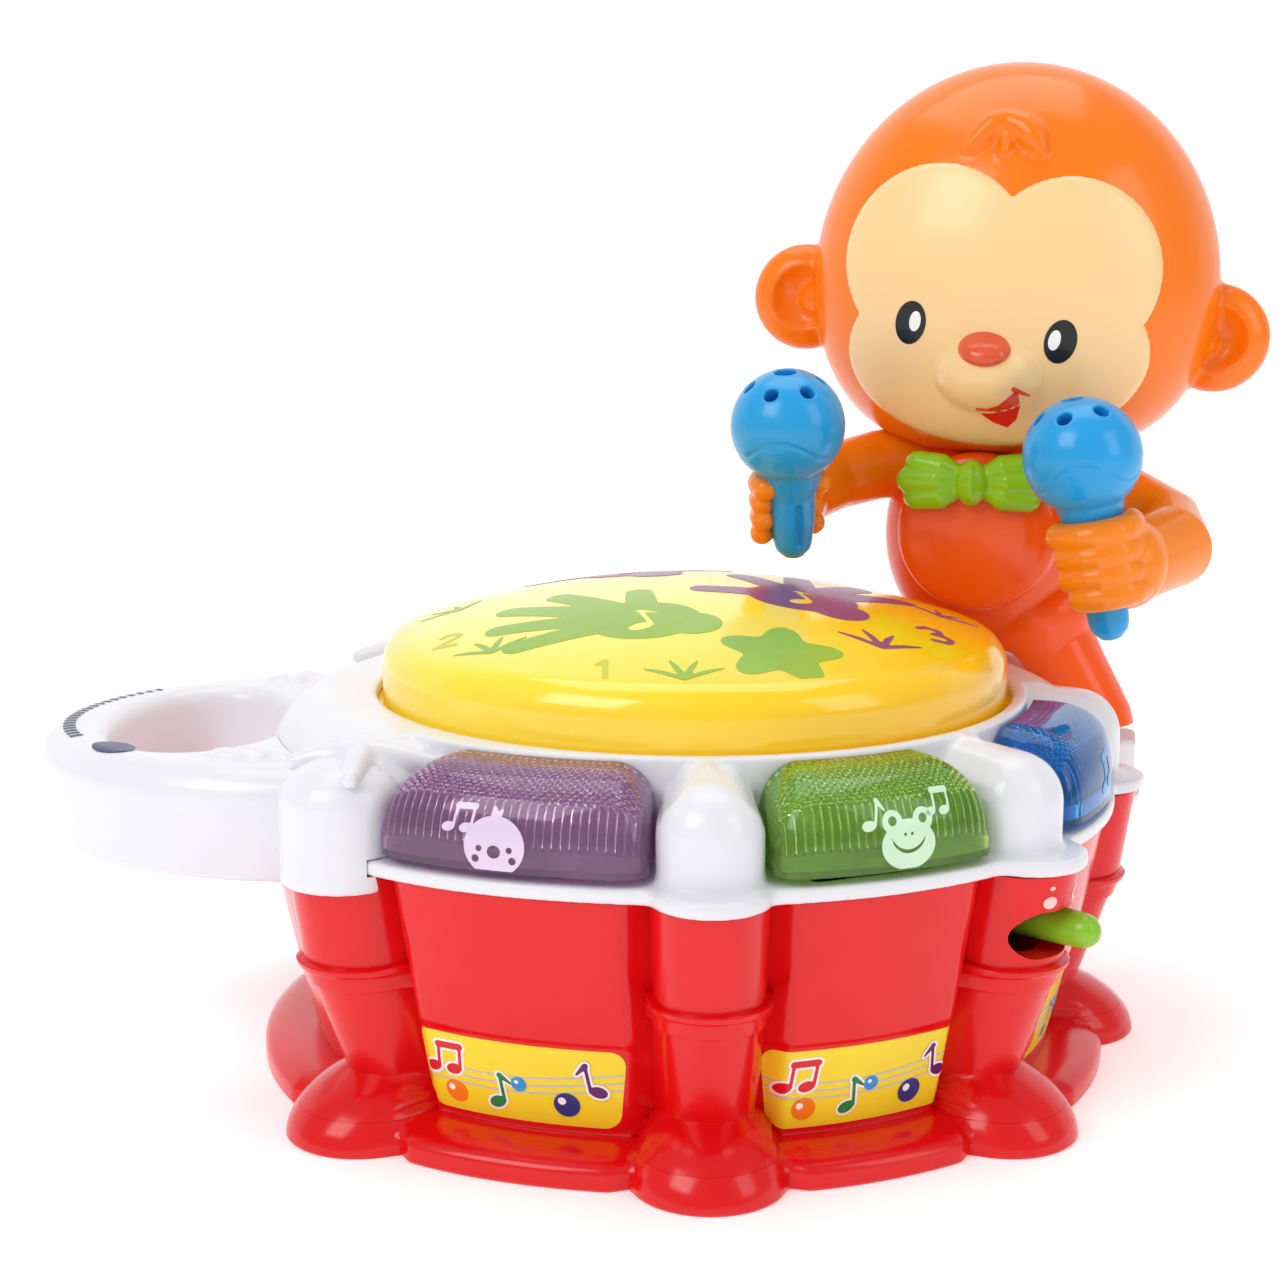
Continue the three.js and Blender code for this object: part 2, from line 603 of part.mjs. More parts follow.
const LENS_BACK_RADIUS = 91;
// The front face as [distance from the axis, part of the height], from the bottom up.
const LENS_FRONT = [[112.6, 0], [112.4, 0.4], [110.2, 0.66], [106, 0.85], [100, 0.96]];

// Closed outline of a lens cut by a plane through the drum's axis, at an angle from its middle.
function lensProfile(away, halfAngle, wall, widen) {
  const corner = 6; // degrees taken by the rounded top corners
  const cornerDrop = 12;
  const past = Math.max(0, Math.abs(away) - (halfAngle - corner)) / corner;
  const top = LENS_TOP_Z - wall - cornerDrop * (1 - Math.sqrt(Math.max(0, 1 - past ** 2)));
  const bottom = wall > 0 ? LENS_BOTTOM_Z - 2 : LENS_BOTTOM_Z;
  const back = LENS_BACK_RADIUS * widen + wall;
  const curve = LENS_FRONT.map(([radius, part]) => [
    radius * widen - wall, mix(LENS_BOTTOM_Z, top, part)]);
  curve[0][1] = bottom;
  return [[back, bottom], ...curve, [back, top]];
}

function lensSolid({ angle, halfAngle }, inset, wall) {
  const steps = 8;
  const rings = [];
  for (let i = 0; i <= steps; i += 1) {
    const away = (halfAngle - inset) * (2 * (i / steps) - 1);
    rings.push(polarRing(lensProfile(away, halfAngle - inset, wall, stretch(angle + away)), away));
  }
  return solid(loft(rings, false));
}

function lensButton(lens) {
  const shellOnly = cut(lensSolid(lens, 0, 0), lensSolid(lens, 1.1, 2));
  const stem = box([STEM_RING - 3, STEM_RING + 3], [-4, 4], [BOARD_Z[1] + 4.6, LENS_TOP_Z - 2.2]);
  return swing(shape(join(shellOnly, solid(stem))), lens.angle);
}

const lensColours = { purple: PURPLE, green: LENS_GREEN, blue: BLUE_LENS };
Object.entries(LENSES).forEach(([colour, lens], i) => {
  const { angle } = lens;
  add(`lens_button_${colour}`, lensButton(lens), lensColours[colour]);
  const dome = turned([[0, 0], [4.5, 0], [4.5, 0.8], [2.6, 2.4], [0, 2.6]], 14);
  const place = dome.translate(STEM_RING, 0, BOARD_Z[1] + GAP);
  add(`button_dome_${i + 1}`, swing(place, angle), RUBBER);
  add(`led_${i + 1}`, swing(led().translate(STEM_RING - 1, -12, BOARD_Z[1] + GAP), angle), LED_CLEAR);
});

function led() {
  return turned([[0, 0], [2.9, 0], [2.9, 1], [2.5, 1], [2.5, 5.5], [1.8, 7.2], [0, 8]], 12);
}
add('led_4', led().translate(0, 0, TRAY_Z[1] + GAP), LED_CLEAR);

function mainBoard() {
  const disc = rod(BOARD_RADIUS, BOARD_Z, 0, 0, 32);
  const notch = swing(box([86, 120], [-20, 20], [40, 70]), SWITCH_ANGLE); // leaves room for the switch
  const holes = screwPlaces.map(([x, y]) => solid(rod(2, [50, 70], x, y, 8)));
  return shape(cut(solid(disc), solid(notch), ...holes));
}
add('main_board', mainBoard(), BOARD_GREEN);

// ---------------------------------------------------------------- monkey socket and pivot

const toMonkey = (geometry) => {
  const moved = geometry.clone();
  moved.translate(-PIVOT.x, -PIVOT.y, -PIVOT.z);
  return moved.rotateZ(-radians(MONKEY_TURN));
};
const SOCKET = { radius: 15.5, bottom: -21, top: -1 };
const PIN_RADIUS = 2.5;

function monkeySocket() {
  const { radius, bottom, top } = SOCKET;
  const towards = Math.atan2(PIVOT.y, PIVOT.x);
  const drum = solid(rod(radius, [bottom, top], 0, 0, 24));
  const arm = toMonkey(box([100, Math.hypot(PIVOT.x, PIVOT.y)], [-radius + 1, radius - 1],
    [PIVOT.z + bottom, PIVOT.z + top]).rotateZ(towards));
  const slot = box([-radius - 3, radius + 3], [-7.5, 7.5], [bottom + 3, top + 1]); // for the stem
  const pinHole = taper([0, -30, -PIN_DROP], [0, 30, -PIN_DROP], PIN_RADIUS + 0.15, PIN_RADIUS + 0.15);
  const trimmer = solid(toMonkey(shape(keepOut)));
  return shape(cut(join(drum, solid(arm)), solid(slot), solid(pinHole), trimmer));
}
add('monkey_socket', monkeySocket(), WHITE, monkey);

function swingStem() {
  const shank = taper([0, 0, -PIN_DROP], [-5, 1, 13], 7, 6.5, 12);
  const eye = taper([0, -7, -PIN_DROP], [0, 7, -PIN_DROP], 8, 8, 20);
  const bore = taper([0, -9, -PIN_DROP], [0, 9, -PIN_DROP], PIN_RADIUS + 0.1, PIN_RADIUS + 0.1);
  return shape(cut(join(solid(shank), solid(eye)), solid(bore)));
}
add('swing_stem', swingStem(), BODY_ORANGE, monkey);
add('pivot_pin', taper([0, -13, -PIN_DROP], [0, 13, -PIN_DROP], PIN_RADIUS, PIN_RADIUS), STEEL, monkey);

// ---------------------------------------------------------------- monkey

const FRONT = box([-200, 200], [-200, -GAP / 2], [-200, 400]);
const BACK = box([-200, 200], [GAP / 2, 200], [-200, 400]);

function headSolid(grow) {
  const { centre, halfWidth, halfDepth, up, down, jaw } = HEAD;
  const [turns, levels] = [22, 14];
  const rings = [];
  for (let level = 0; level <= levels; level += 1) {
    const part = -Math.cos((level / levels) * Math.PI); // from -1 at the chin to 1 at the crown
    const width = Math.max(1e-3, 1 - part ** 2) ** (part < 0 ? jaw : 0.5);
    const z = centre[2] + part * ((part < 0 ? down : up) + grow);
    rings.push(Array.from({ length: turns }, (_, i) => {
      const turn = (i / turns) * 2 * Math.PI;
      const x = centre[0] + (halfWidth + grow) * width * Math.cos(turn);
      return new THREE.Vector3(x, (halfDepth + grow) * width * Math.sin(turn), z);
    }));
  }
  return solid(loft(rings, false));
}

const BODY_BOTTOM = 3; // high enough to clear the socket when the monkey swings

function bodySolid(grow) {
  const leg = taper([-13, 3, 28], [1, 0, 0], 13 + grow, 12.5 + grow, 14);
  const parts = [ellipsoid(TORSO, grow, [16, 12]), ellipsoid(HIP, grow, [14, 8]), leg];
  return join(...parts.map(solid));
}

const belly = (grow) => solid(taper([-33, -10, 61], [-33, -23.5 - grow, 61], 23 + grow, 22 + grow, 18));

// The drum grown enough to stay clear of the body when the monkey swings.
const drumClearance = solid(toMonkey(shape(keepOut).scale(1.035, 1.035, 1.03)));

const EARS = [[-87, 1, 127], [31, 1, 116]];

function headShell(half) {
  const ears = EARS.map((centre) => solid(ellipsoid({ centre, radii: [15.5, 8, 15.5] }, 0, [14, 8])));
  const cups = EARS.map(([x, y, z]) => (
    solid(ellipsoid({ centre: [x, y - 9, z], radii: [10.5, 7, 10.5] }, 0, [12, 6]))));
  const whole = cut(join(headSolid(0), ...ears), ...cups, headSolid(-WALL));
  return shape(whole.intersect(solid(half)));
}
add('head_front_shell', headShell(FRONT), ORANGE, monkey);
add('head_back_shell', headShell(BACK), ORANGE, monkey);

// The face is the joined outline of two brow circles and a wide cheek ellipse.
function facePlate() {
  const forward = ([x, z], [rx, rz]) => {
    const post = new THREE.CylinderGeometry(1, 1, 60, 20).scale(rx, 1, rz);
    return solid(post.translate(x, -40, z));
  };
  const outline = join(forward([-45, 138], [26.5, 26.5]), forward([-9, 135], [25, 25.5]),
    forward([-28.5, 112.5], [42, 26.5]));
  const skin = cut(headSolid(1.3), headSolid(GAP));
  const muzzle = solid(ellipsoid({ centre: [-30, -37, 108], radii: [15, 12, 11] }, 0, [12, 8]));
  return shape(cut(join(skin.intersect(outline), muzzle), headSolid(GAP)));
}
add('face_plate', facePlate(), TAN, monkey);

// Hands hold the maracas in front of the body.
const MARACAS = {
  left: { ball: [-83, -54, 93], end: [-82.5, -46, 60.5] },
  right: { ball: [-3, -60, 87], end: [5.5, -57, 42.5] },
};

function maracaSolid({ ball, end }, grow = 0) {
  const [thick, thin] = [7.2, 5.4]; // radii of the stick
  const radii = Array(3).fill(MARACA_RADIUS);
  const head = solid(ellipsoid({ centre: ball, radii }, grow, [14, 10]));
  const stick = solid(taper(ball, end, thick + grow, thin + grow, 12));
  const foot = solid(ellipsoid({ centre: end, radii: [thin, thin, thin] }, grow, [12, 6]));
  return join(head, stick, foot);
}

const ARMS = {
  left: { shoulder: [-54, 0, 78], elbow: [-77, -14, 74], hand: [-85, -44, 68.5], radii: [10.5, 9.5, 8.5] },
  right: { shoulder: [-10, -2, 74], elbow: [18.5, -26, 65.5], hand: [4, -56, 61], radii: [11, 11.5, 10] },
};

function armShape(arm, maraca) {
  const { shoulder, elbow, hand, radii } = arm;
  const bend = solid(ellipsoid({ centre: elbow, radii: [radii[1], radii[1], radii[1]] }, 0, [12, 8]));
  const fist = solid(ellipsoid({ centre: hand, radii: [11.5, 11.5, 10] }, 0, [12, 8]));
  const upper = solid(taper(shoulder, elbow, radii[0], radii[1]));
  const fore = solid(taper(elbow, hand, radii[1], radii[2]));
  const neighbours = [bodySolid(GAP), belly(GAP), headSolid(GAP), maracaSolid(maraca, GAP)];
  const pieces = cut(join(upper, fore, bend, fist), ...neighbours).decompose();
  pieces.sort((a, b) => b.volume() - a.volume());
  return shape(pieces[0]);
}

Object.keys(MARACAS).forEach((side) => {
  add(`maraca_${side}`, shape(maracaSolid(MARACAS[side])), SKY, monkey);
  add(`arm_${side}`, armShape(ARMS[side], MARACAS[side]), ORANGE, monkey);
});

function bodyShell(half) {
  const inner = bodySolid(-WALL);
  const below = solid(box([-100, 100], [-100, 100], [-60, BODY_BOTTOM]));
  const whole = cut(join(bodySolid(0), belly(0)), inner, headSolid(GAP), below, drumClearance);
  return shape(whole.intersect(solid(half)));
}
add('body_front_shell', bodyShell(FRONT), BODY_ORANGE, monkey);
add('body_back_shell', bodyShell(BACK), BODY_ORANGE, monkey);

function bowTie() {
  const wings = [-1, 1].map((side) => solid(ellipsoid(
    { centre: [-34.5 + side * 10, -23, 76], radii: [10, 6, 8] }, 0, [12, 8])));
  const knot = solid(ellipsoid({ centre: [-34.5, -26, 76], radii: [5, 6, 6.5] }, 0, [10, 6]));
  return shape(cut(join(...wings, knot), bodySolid(GAP), belly(GAP), headSolid(GAP)));
}
add('bow_tie', bowTie(), LEAF, monkey);

export default object;
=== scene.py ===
"""Visual model of the electronic baby drum with a swinging monkey.

Lengths are in millimetres up to the moment a mesh is made, and the frame is the CAD row frame:
+Z up, the drum's front towards -Y, the carrying handle towards -X.
"""
import math
from math import radians

import bmesh
import bpy
import numpy as np
from mathutils import Matrix, Vector


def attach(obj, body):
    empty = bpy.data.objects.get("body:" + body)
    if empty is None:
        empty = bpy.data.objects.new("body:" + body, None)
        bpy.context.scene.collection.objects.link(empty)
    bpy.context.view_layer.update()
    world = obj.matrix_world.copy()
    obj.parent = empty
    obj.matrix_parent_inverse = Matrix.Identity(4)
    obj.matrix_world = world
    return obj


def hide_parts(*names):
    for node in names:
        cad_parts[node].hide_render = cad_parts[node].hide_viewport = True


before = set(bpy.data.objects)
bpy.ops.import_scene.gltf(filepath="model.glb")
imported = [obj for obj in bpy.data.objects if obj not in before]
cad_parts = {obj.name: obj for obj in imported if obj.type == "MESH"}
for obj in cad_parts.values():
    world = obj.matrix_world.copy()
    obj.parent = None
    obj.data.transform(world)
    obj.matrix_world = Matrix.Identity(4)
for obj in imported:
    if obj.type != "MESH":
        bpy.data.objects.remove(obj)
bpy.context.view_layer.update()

MM = 0.001
COARSE = 1.0  # trial renders use larger voxels

# ---------------------------------------------------------------- driving dimensions

GAP = 0.3
SEAM = 0.06  # the closed joint between the base and the case, as it is seen
WALL = 2.4
COLUMN_ANGLES = (-139.5, -90, -45, 0, 45, 90, 139.5)
TIED_COLUMNS = (-139.5, 139.5)  # the two columns that the handle grows out of
FREE_COLUMNS = COLUMN_ANGLES[1:-1]
HANDLE_SIDE_STRETCH, STRETCH_START, STRETCH_SPAN = 0.05, 95, 45
LENSES = {"purple": (-114.75, 17.3), "green": (-67.5, 15.1), "blue": (-22.5, 15.1)}

BASE_TOP = 8
SKIRT_RADIUS, SKIRT_TOP_RADIUS, SKIRT_SHOULDER = 112, 101, 4
FOOT_RADIUS, FOOT_HEIGHT, FOOT_CENTRE = 18.5, 19, (104.5, 94.5)
PARTING = 69
PANEL_RADIUS = (98, 111)
COLLAR = (39, 46)
COLUMN_CENTRE = (93.5, 105, 108)
COLUMN_RADIUS = (11, 12.9, 13.5)
FLANGE_CENTRE, FLANGE_RADIUS, CLASP_RADIUS = 109.5, 14.2, 15.4
LEDGE_TOP, LEDGE_RADIUS = 73, 113
RIM_TOP, RIM_EDGE, WELL_RADIUS, CAVITY_RADIUS = 98, 88.2, 85.5, 87
SHOULDER_RADIUS, SHOULDER_BULGE, SHOULDER_Z = 91, 20, 74
POCKET_RADIUS, POCKET_MARGIN = 89.5, 7.4
CAP_CENTRE, CAP_RADIUS, CAP_SHOULDER, CAP_TOP = 104, 12.6, 84, 96.2

PAD_RADIUS, PAD_EDGE_ROUND, PAD_SHOULDER, PAD_TOP = 84, 9, 105, 126
LENS_Z, LENS_BACK, LENS_FRONT = (75, 97.2), 91, 112.6
LENS_ARC, RIB_PITCH, BEAD_PITCH, RELIEF_DEPTH = 30, 2.1, 1.1, 0.75
HANDLE_Z, HANDLE_CENTRE, HANDLE_SIZE = (61, 89), -96, (80, 66)
HOLE_CENTRE, HOLE_SIZE, HANDLE_END = -133, (24, 39), -88
HANDLE_ROUND, HOLE_ROUND, HANDLE_FOOT, HANDLE_WALL, HOLLOW_TOP = 8.0, 5.0, 1.2, 3.4, 80
CLASP_Z = (64.6, 85)
BAY_OUTSIDE, BAY_INSIDE = ((-33.6, 33.6), (-60.5, -23.5)), ((-31.6, 31.6), (-58.5, -25.5))
DOORWAY, DOOR = ((-32.6, 46), (-59.5, -24.5)), ((-32.3, 45.6), (-59.2, -24.8))
DOOR_SCREW, SPEAKER_CENTRE = (40.5, -42), (-30, 38)
SCREW_RING, SCREW_ANGLES = 94.5, (0, 90, 139.5, -139.5, -90)
SWITCH_ANGLE, SWITCH_Z, SWITCH_TRAVEL = -45, 54, 10
STICKER_Z, STICKER_HALF = 20.2, (26.5, 10.8)
RECESS_DEPTH, RECESS_MARGIN, RECESS_CORNER = 0.7, 1.2, 4.5
PANEL_MM_PER_DEGREE, LENS_MM_PER_DEGREE = 1.76, 1.96  # lengths along the wall and along a lens

PIVOT, MONKEY_TURN, PIN_DROP = Vector((120, 52, 73)), -14, 8
MONKEY = Matrix.Translation(PIVOT * MM) @ Matrix.Rotation(radians(MONKEY_TURN), 4, "Z")
HEAD_CENTRE, HEAD_WIDTH, HEAD_DEPTH = (-26, 0, 131), 58, 44
HEAD_UP, HEAD_DOWN, JAW = 62.4, 49, 0.32
EARS = ((-87, 1, 127), (31, 1, 116))
MARACAS = {
    "left": ((-83, -54, 93), (-82.5, -46, 60.5)),
    "right": ((-3, -60, 87), (5.5, -57, 42.5)),
}

# ---------------------------------------------------------------- materials


def linear(red, green, blue):
    """Linear colour from 0 to 255 display values."""
    def one(value):
        value /= 255
        return value / 12.92 if value <= 0.04045 else ((value + 0.055) / 1.055) ** 2.4
    return one(red), one(green), one(blue), 1.0


def shade(colour, factor):
    return tuple(min(1, channel * factor) for channel in colour[:3]) + (1.0,)


class Nodes:
    """A material's node tree with short calls for the few nodes used here."""

    def __init__(self, name):
        self.material = bpy.data.materials.new(name)
        self.material.use_nodes = True
        self.tree = self.material.node_tree
        self.shader = self.tree.nodes["Principled BSDF"]
        self.place = self.tree.nodes.new("ShaderNodeTexCoord").outputs["Object"]

    def link(self, source, target):
        self.tree.links.new(source, target)

    def noise(self, scale, detail=3):
        node = self.tree.nodes.new("ShaderNodeTexNoise")
        node.inputs["Scale"].default_value = scale
        node.inputs["Detail"].default_value = detail
        self.link(self.place, node.inputs["Vector"])
        return node.outputs["Fac"]

    def scaled(self, value, low, high, start=0.35, end=0.65):
        node = self.tree.nodes.new("ShaderNodeMapRange")
        self.link(value, node.inputs["Value"])
        for name, number in zip(("From Min", "From Max", "To Min", "To Max"), (start, end, low, high)):
            node.inputs[name].default_value = number
        return node.outputs["Result"]

    def ramp(self, value, stops):
        node = self.tree.nodes.new("ShaderNodeValToRGB")
        elements = node.color_ramp.elements
        while len(elements) < len(stops):
            elements.new(0.5)
        for element, (position, colour) in zip(elements, stops):
            element.position = position
            element.color = colour
        self.link(value, node.inputs["Fac"])
        return node.outputs["Color"]

    def bump(self, value, strength, distance):
        node = self.tree.nodes.new("ShaderNodeBump")
        node.inputs["Strength"].default_value = strength
        node.inputs["Distance"].default_value = distance
        self.link(value, node.inputs["Height"])
        self.link(node.outputs["Normal"], self.shader.inputs["Normal"])

    def cloud(self, scale, colour, dark, light):
        """A base colour that drifts between two shades."""
        drift = self.ramp(self.noise(scale), [(0.3, shade(colour, dark)), (0.7, shade(colour, light))])
        self.link(drift, self.shader.inputs["Base Color"])

    def polish(self, scale, low, high, detail=3):
        """A roughness that differs a little from place to place."""
        self.link(self.scaled(self.noise(scale, detail), low, high), self.shader.inputs["Roughness"])

    def set(self, **values):
        for name, value in values.items():
            self.shader.inputs[name.replace("_", " ")].default_value = value


def plastic(name, rgb, roughness=0.22, variation=0.05, coat=0.15):
    """Moulded plastic: a faint cloudiness in the colour and an uneven polish."""
    nodes = Nodes(name)
    nodes.cloud(38, linear(*rgb), 1 - variation, 1 + variation)
    nodes.polish(60, roughness * 0.92, roughness * 1.1, 2)
    nodes.set(Specular_IOR_Level=0.38, Coat_Weight=coat, Coat_Roughness=0.06)
    return nodes.material


def metal(name, rgb, roughness=0.3):
    nodes = Nodes(name)
    nodes.cloud(260, linear(*rgb), 0.82, 1.06)
    nodes.polish(700, roughness * 0.7, roughness * 1.4)
    nodes.set(Metallic=1.0)
    return nodes.material


def glass(name, rgb, roughness=0.04, variation=0.06):
    """Tinted clear plastic."""
    nodes = Nodes(name)
    nodes.cloud(45, linear(*rgb), 1 - variation, 1 + variation)
    nodes.polish(200, roughness * 0.7, roughness * 1.5)
    nodes.set(Transmission_Weight=0.9, IOR=1.42)
    return nodes.material


def pad_material():
    """Yellow translucent plastic, amber at the rim, with painted light: the colour is painted pale where
    light gathers in the crown, and the same ramp makes the pad glow faintly by emission though it is no lamp.
    """
    nodes = Nodes("yellow_painted_glow")
    # Painted light: the colour is painted paler the nearer it lies to this point by the crown, where light
    # gathers, and turns amber towards the rim.
    distance = nodes.tree.nodes.new("ShaderNodeVectorMath")
    distance.operation = "DISTANCE"
    distance.inputs[1].default_value = (-0.026, -0.022, 0.118)
    nodes.link(nodes.place, distance.inputs[0])
    away = nodes.scaled(distance.outputs["Value"], 0.0, 1.0, 0.0, 0.115)
    stops = [(0.0, linear(255, 240, 120)), (0.38, linear(255, 226, 62)),
             (0.66, linear(253, 204, 20)), (1.0, linear(245, 178, 0))]
    nodes.link(nodes.ramp(away, stops), nodes.shader.inputs["Base Color"])
    nodes.polish(120, 0.13, 0.2, 2)
    nodes.bump(nodes.noise(700, 1), 0.03, 0.0002)
    # Painted glow: a faint emission in the same colours, though the pad is no lamp.
    nodes.link(nodes.ramp(away, stops), nodes.shader.inputs["Emission Color"])
    nodes.set(Emission_Strength=0.1, Coat_Weight=0.4, Coat_Roughness=0.05)
    return nodes.material


WHITE = plastic("white_gloss", (234, 234, 239), 0.24, 0.012)
RED = plastic("red_gloss", (228, 8, 14), 0.2, 0.03)
YELLOW = pad_material()
ORANGE = plastic("orange_gloss", (255, 124, 2), 0.24, 0.02)
DEEP_ORANGE = plastic("deep_orange_gloss", (255, 92, 8), 0.22, 0.025)
HAND_ORANGE = plastic("arm_orange_gloss", (255, 136, 14), 0.24, 0.02)
TAN = plastic("tan_gloss", (255, 214, 154), 0.3, 0.01)
LEAF = plastic("leaf_green_gloss", (148, 204, 28), 0.22, 0.07)
SKY = plastic("sky_blue_gloss", (34, 160, 226), 0.24, 0.05)
KNOB = plastic("knob_green_gloss", (140, 196, 44), 0.26, 0.05)
BOARD = plastic("board_green", (31, 107, 58), 0.55, 0.2, coat=0)
BLACK = plastic("black_matt", (28, 28, 30), 0.5, 0.2, coat=0)
RUBBER = plastic("silicone", (186, 189, 194), 0.75, 0.06, coat=0)
LED_CLEAR = glass("led_clear", (238, 244, 255), 0.08)
CELL = plastic("cell_sleeve", (47, 90, 140), 0.35, 0.12)
STEEL = metal("zinc_steel", (196, 199, 204))
LENS_PURPLE = glass("purple_clear", (228, 186, 226))
LENS_GREEN = glass("green_clear", (200, 242, 124))
LENS_BLUE = glass("blue_clear", (64, 180, 255))
NOSE = plastic("nose_brown_red", (226, 90, 54), 0.18, 0.06)
INK = {
    name: plastic("ink_" + name, rgb, 0.28, 0.05)
    for name, rgb in {
        "yellow": (250, 224, 44), "white": (250, 250, 250), "red": (222, 26, 40), "grey": (196, 200, 208),
        "orange": (248, 132, 26), "green": (20, 132, 66), "sky": (40, 150, 222), "navy": (34, 52, 128),
        "violet": (92, 30, 100), "black": (14, 12, 14), "mouth": (226, 22, 12), "pad_green": (150, 190, 56),
        "pad_green_faint": (206, 208, 56), "pad_purple": (140, 70, 122), "label": (30, 48, 98),
        "lens_purple": (228, 206, 232), "lens_green": (208, 240, 206), "mark": (250, 205, 200),
    }.items()
}

# ---------------------------------------------------------------- mesh helpers


def shift(x, y, z=0):
    return Matrix.Translation(Vector((x, y, z)) * MM)


def spin(angle, axis="Z"):
    return Matrix.Rotation(radians(angle), 4, axis)


def add_object(name, data):
    made = bpy.data.objects.new(name, data)
    bpy.context.scene.collection.objects.link(made)
    return made


def mesh_object(name, points, faces):
    mesh = bpy.data.meshes.new(name)
    mesh.from_pydata([tuple(float(value) * MM for value in point) for point in points], [], faces)
    shape = bmesh.new()
    shape.from_mesh(mesh)
    bmesh.ops.remove_doubles(shape, verts=shape.verts, dist=2e-6)
    bmesh.ops.recalc_face_normals(shape, faces=shape.faces)
    shape.to_mesh(mesh)
    shape.free()
    return add_object(name, mesh)


def skin(name, rings, wrap=False, closed=True):
    """Faces through a row of equal rings. wrap joins the last ring to the first, closed joins each
    ring's end to its start, and an open row of closed rings gets a face at each end."""
    count, rows = len(rings[0]), len(rings)
    points = [point for ring in rings for point in ring]
    faces = []
    for i in range(rows if wrap else rows - 1):
        here, after = i * count, ((i + 1) % rows) * count
        for j in range(count if closed else count - 1):
            k = (j + 1) % count
            faces.append((here + j, after + j, after + k, here + k))
    if not wrap and closed:
        faces += [tuple(range(count))[::-1], tuple(range((rows - 1) * count, rows * count))]
    return mesh_object(name, points, faces)


def polar(radius, angle, z):
    return (radius * math.cos(radians(angle)), radius * math.sin(radians(angle)), z)


def loft_around(name, profile, step=1.0):
    """A closed ring from a closed profile of (radius, z) pairs at every angle."""
    angles = np.arange(0, 360, step)
    return skin(name, [[polar(r, angle, z) for r, z in profile(angle)] for angle in angles], wrap=True)


def turned(name, profile, segments=64):
    """A lathe shape round Z. The profile starts and ends on the axis, or closes on itself."""
    rings = [[polar(r, 360 * i / segments, z) for r, z in profile] for i in range(segments)]
    return skin(name, rings, wrap=True, closed=profile[0][0] > 0)


def ball(name, centre, radii, segments=(40, 24)):
    rings = []
    for level in range(segments[1] + 1):
        polar_turn = math.pi * level / segments[1]
        rings.append([
            (centre[0] + radii[0] * math.sin(polar_turn) * math.cos(turn),
             centre[1] + radii[1] * math.sin(polar_turn) * math.sin(turn),
             centre[2] - radii[2] * math.cos(polar_turn))
            for turn in np.linspace(0, 2 * math.pi, segments[0], endpoint=False)
        ])
    return skin(name, rings)


def tube(name, path, radii, segments=24):
    """A round bar along a path of points, with rounded ends. radii is one number or one per point."""
    points = [Vector(point) for point in path]
    widths = [radii] * len(points) if isinstance(radii, (int, float)) else list(radii)
    tangents = []
    for i in range(len(points)):
        tangents.append((points[min(i + 1, len(points) - 1)] - points[max(i - 1, 0)]).normalized())

    def rounded_end(i, outwards, turns):
        return [(points[i] + tangents[i] * outwards * widths[i] * math.cos(turn * math.pi / 2), tangents[i],
                 widths[i] * math.sin(turn * math.pi / 2)) for turn in turns]

    rows = rounded_end(0, -1, (0.05, 0.35, 0.7, 0.95))
    rows += list(zip(points, tangents, widths))
    rows += rounded_end(-1, 1, (0.95, 0.7, 0.35, 0.05))
    side = tangents[0].orthogonal().normalized()
    rings = []
    for centre, tangent, width in rows:
        side = (side - tangent * side.dot(tangent)).normalized()
        other = tangent.cross(side)
        rings.append([centre + (side * math.cos(turn) + other * math.sin(turn)) * width
                      for turn in np.linspace(0, 2 * math.pi, segments, endpoint=False)])
    return skin(name, rings)


def block(name, x, y, z):
    corners = [(a, b, c) for c in z for a, b in ((x[0], y[0]), (x[1], y[0]), (x[1], y[1]), (x[0], y[1]))]
    faces = [(3, 2, 1, 0), (4, 5, 6, 7)] + [(i, (i + 1) % 4, (i + 1) % 4 + 4, i + 4) for i in range(4)]
    return mesh_object(name, corners, faces)


def rod(name, radius, z, x=0, y=0, segments=32):
    made = turned(name, [(0, z[0]), (radius, z[0]), (radius, z[1]), (0, z[1])], segments)
    made.data.transform(shift(x, y))
    return made


def bake(made):
    """Applies an object's modifiers."""
    graph = bpy.context.evaluated_depsgraph_get()
    graph.update()
    mesh = bpy.data.meshes.new_from_object(made.evaluated_get(graph))
    old = made.data
    made.modifiers.clear()
    made.data = mesh
    bpy.data.meshes.remove(old)
    return made


def discard(*objects):
    for old in objects:
        mesh = old.data
        bpy.data.objects.remove(old)
        bpy.data.meshes.remove(mesh)


def gather(name, *parts):
    """One object that holds the meshes of several. Each stays a closed body of its own."""
    shape = bmesh.new()
    for part in parts:
        shape.from_mesh(part.data)
    mesh = bpy.data.meshes.new(name)
    shape.to_mesh(mesh)
    shape.free()
    discard(*parts)
    return add_object(name, mesh)


def boolean(made, operation, *tools):
    for tool in tools:
        step = made.modifiers.new("cut", "BOOLEAN")
        step.operation = operation
        step.solver = "EXACT"
        step.object = tool
        bake(made)
    discard(*tools)
    return made


def cut(made, *tools):
    return boolean(made, "DIFFERENCE", *tools)


def melt(name, *parts, voxel=0.8, smooth=4):
    """Overlapping shapes become one moulded skin whose corners are softened."""
    made = gather(name, *parts)
    remesh = made.modifiers.new("skin", "REMESH")
    remesh.mode = "VOXEL"
    remesh.voxel_size = voxel * COARSE * MM
    soften = made.modifiers.new("soften", "SMOOTH")
    soften.iterations = smooth
    soften.factor = 0.5
    return bake(made)


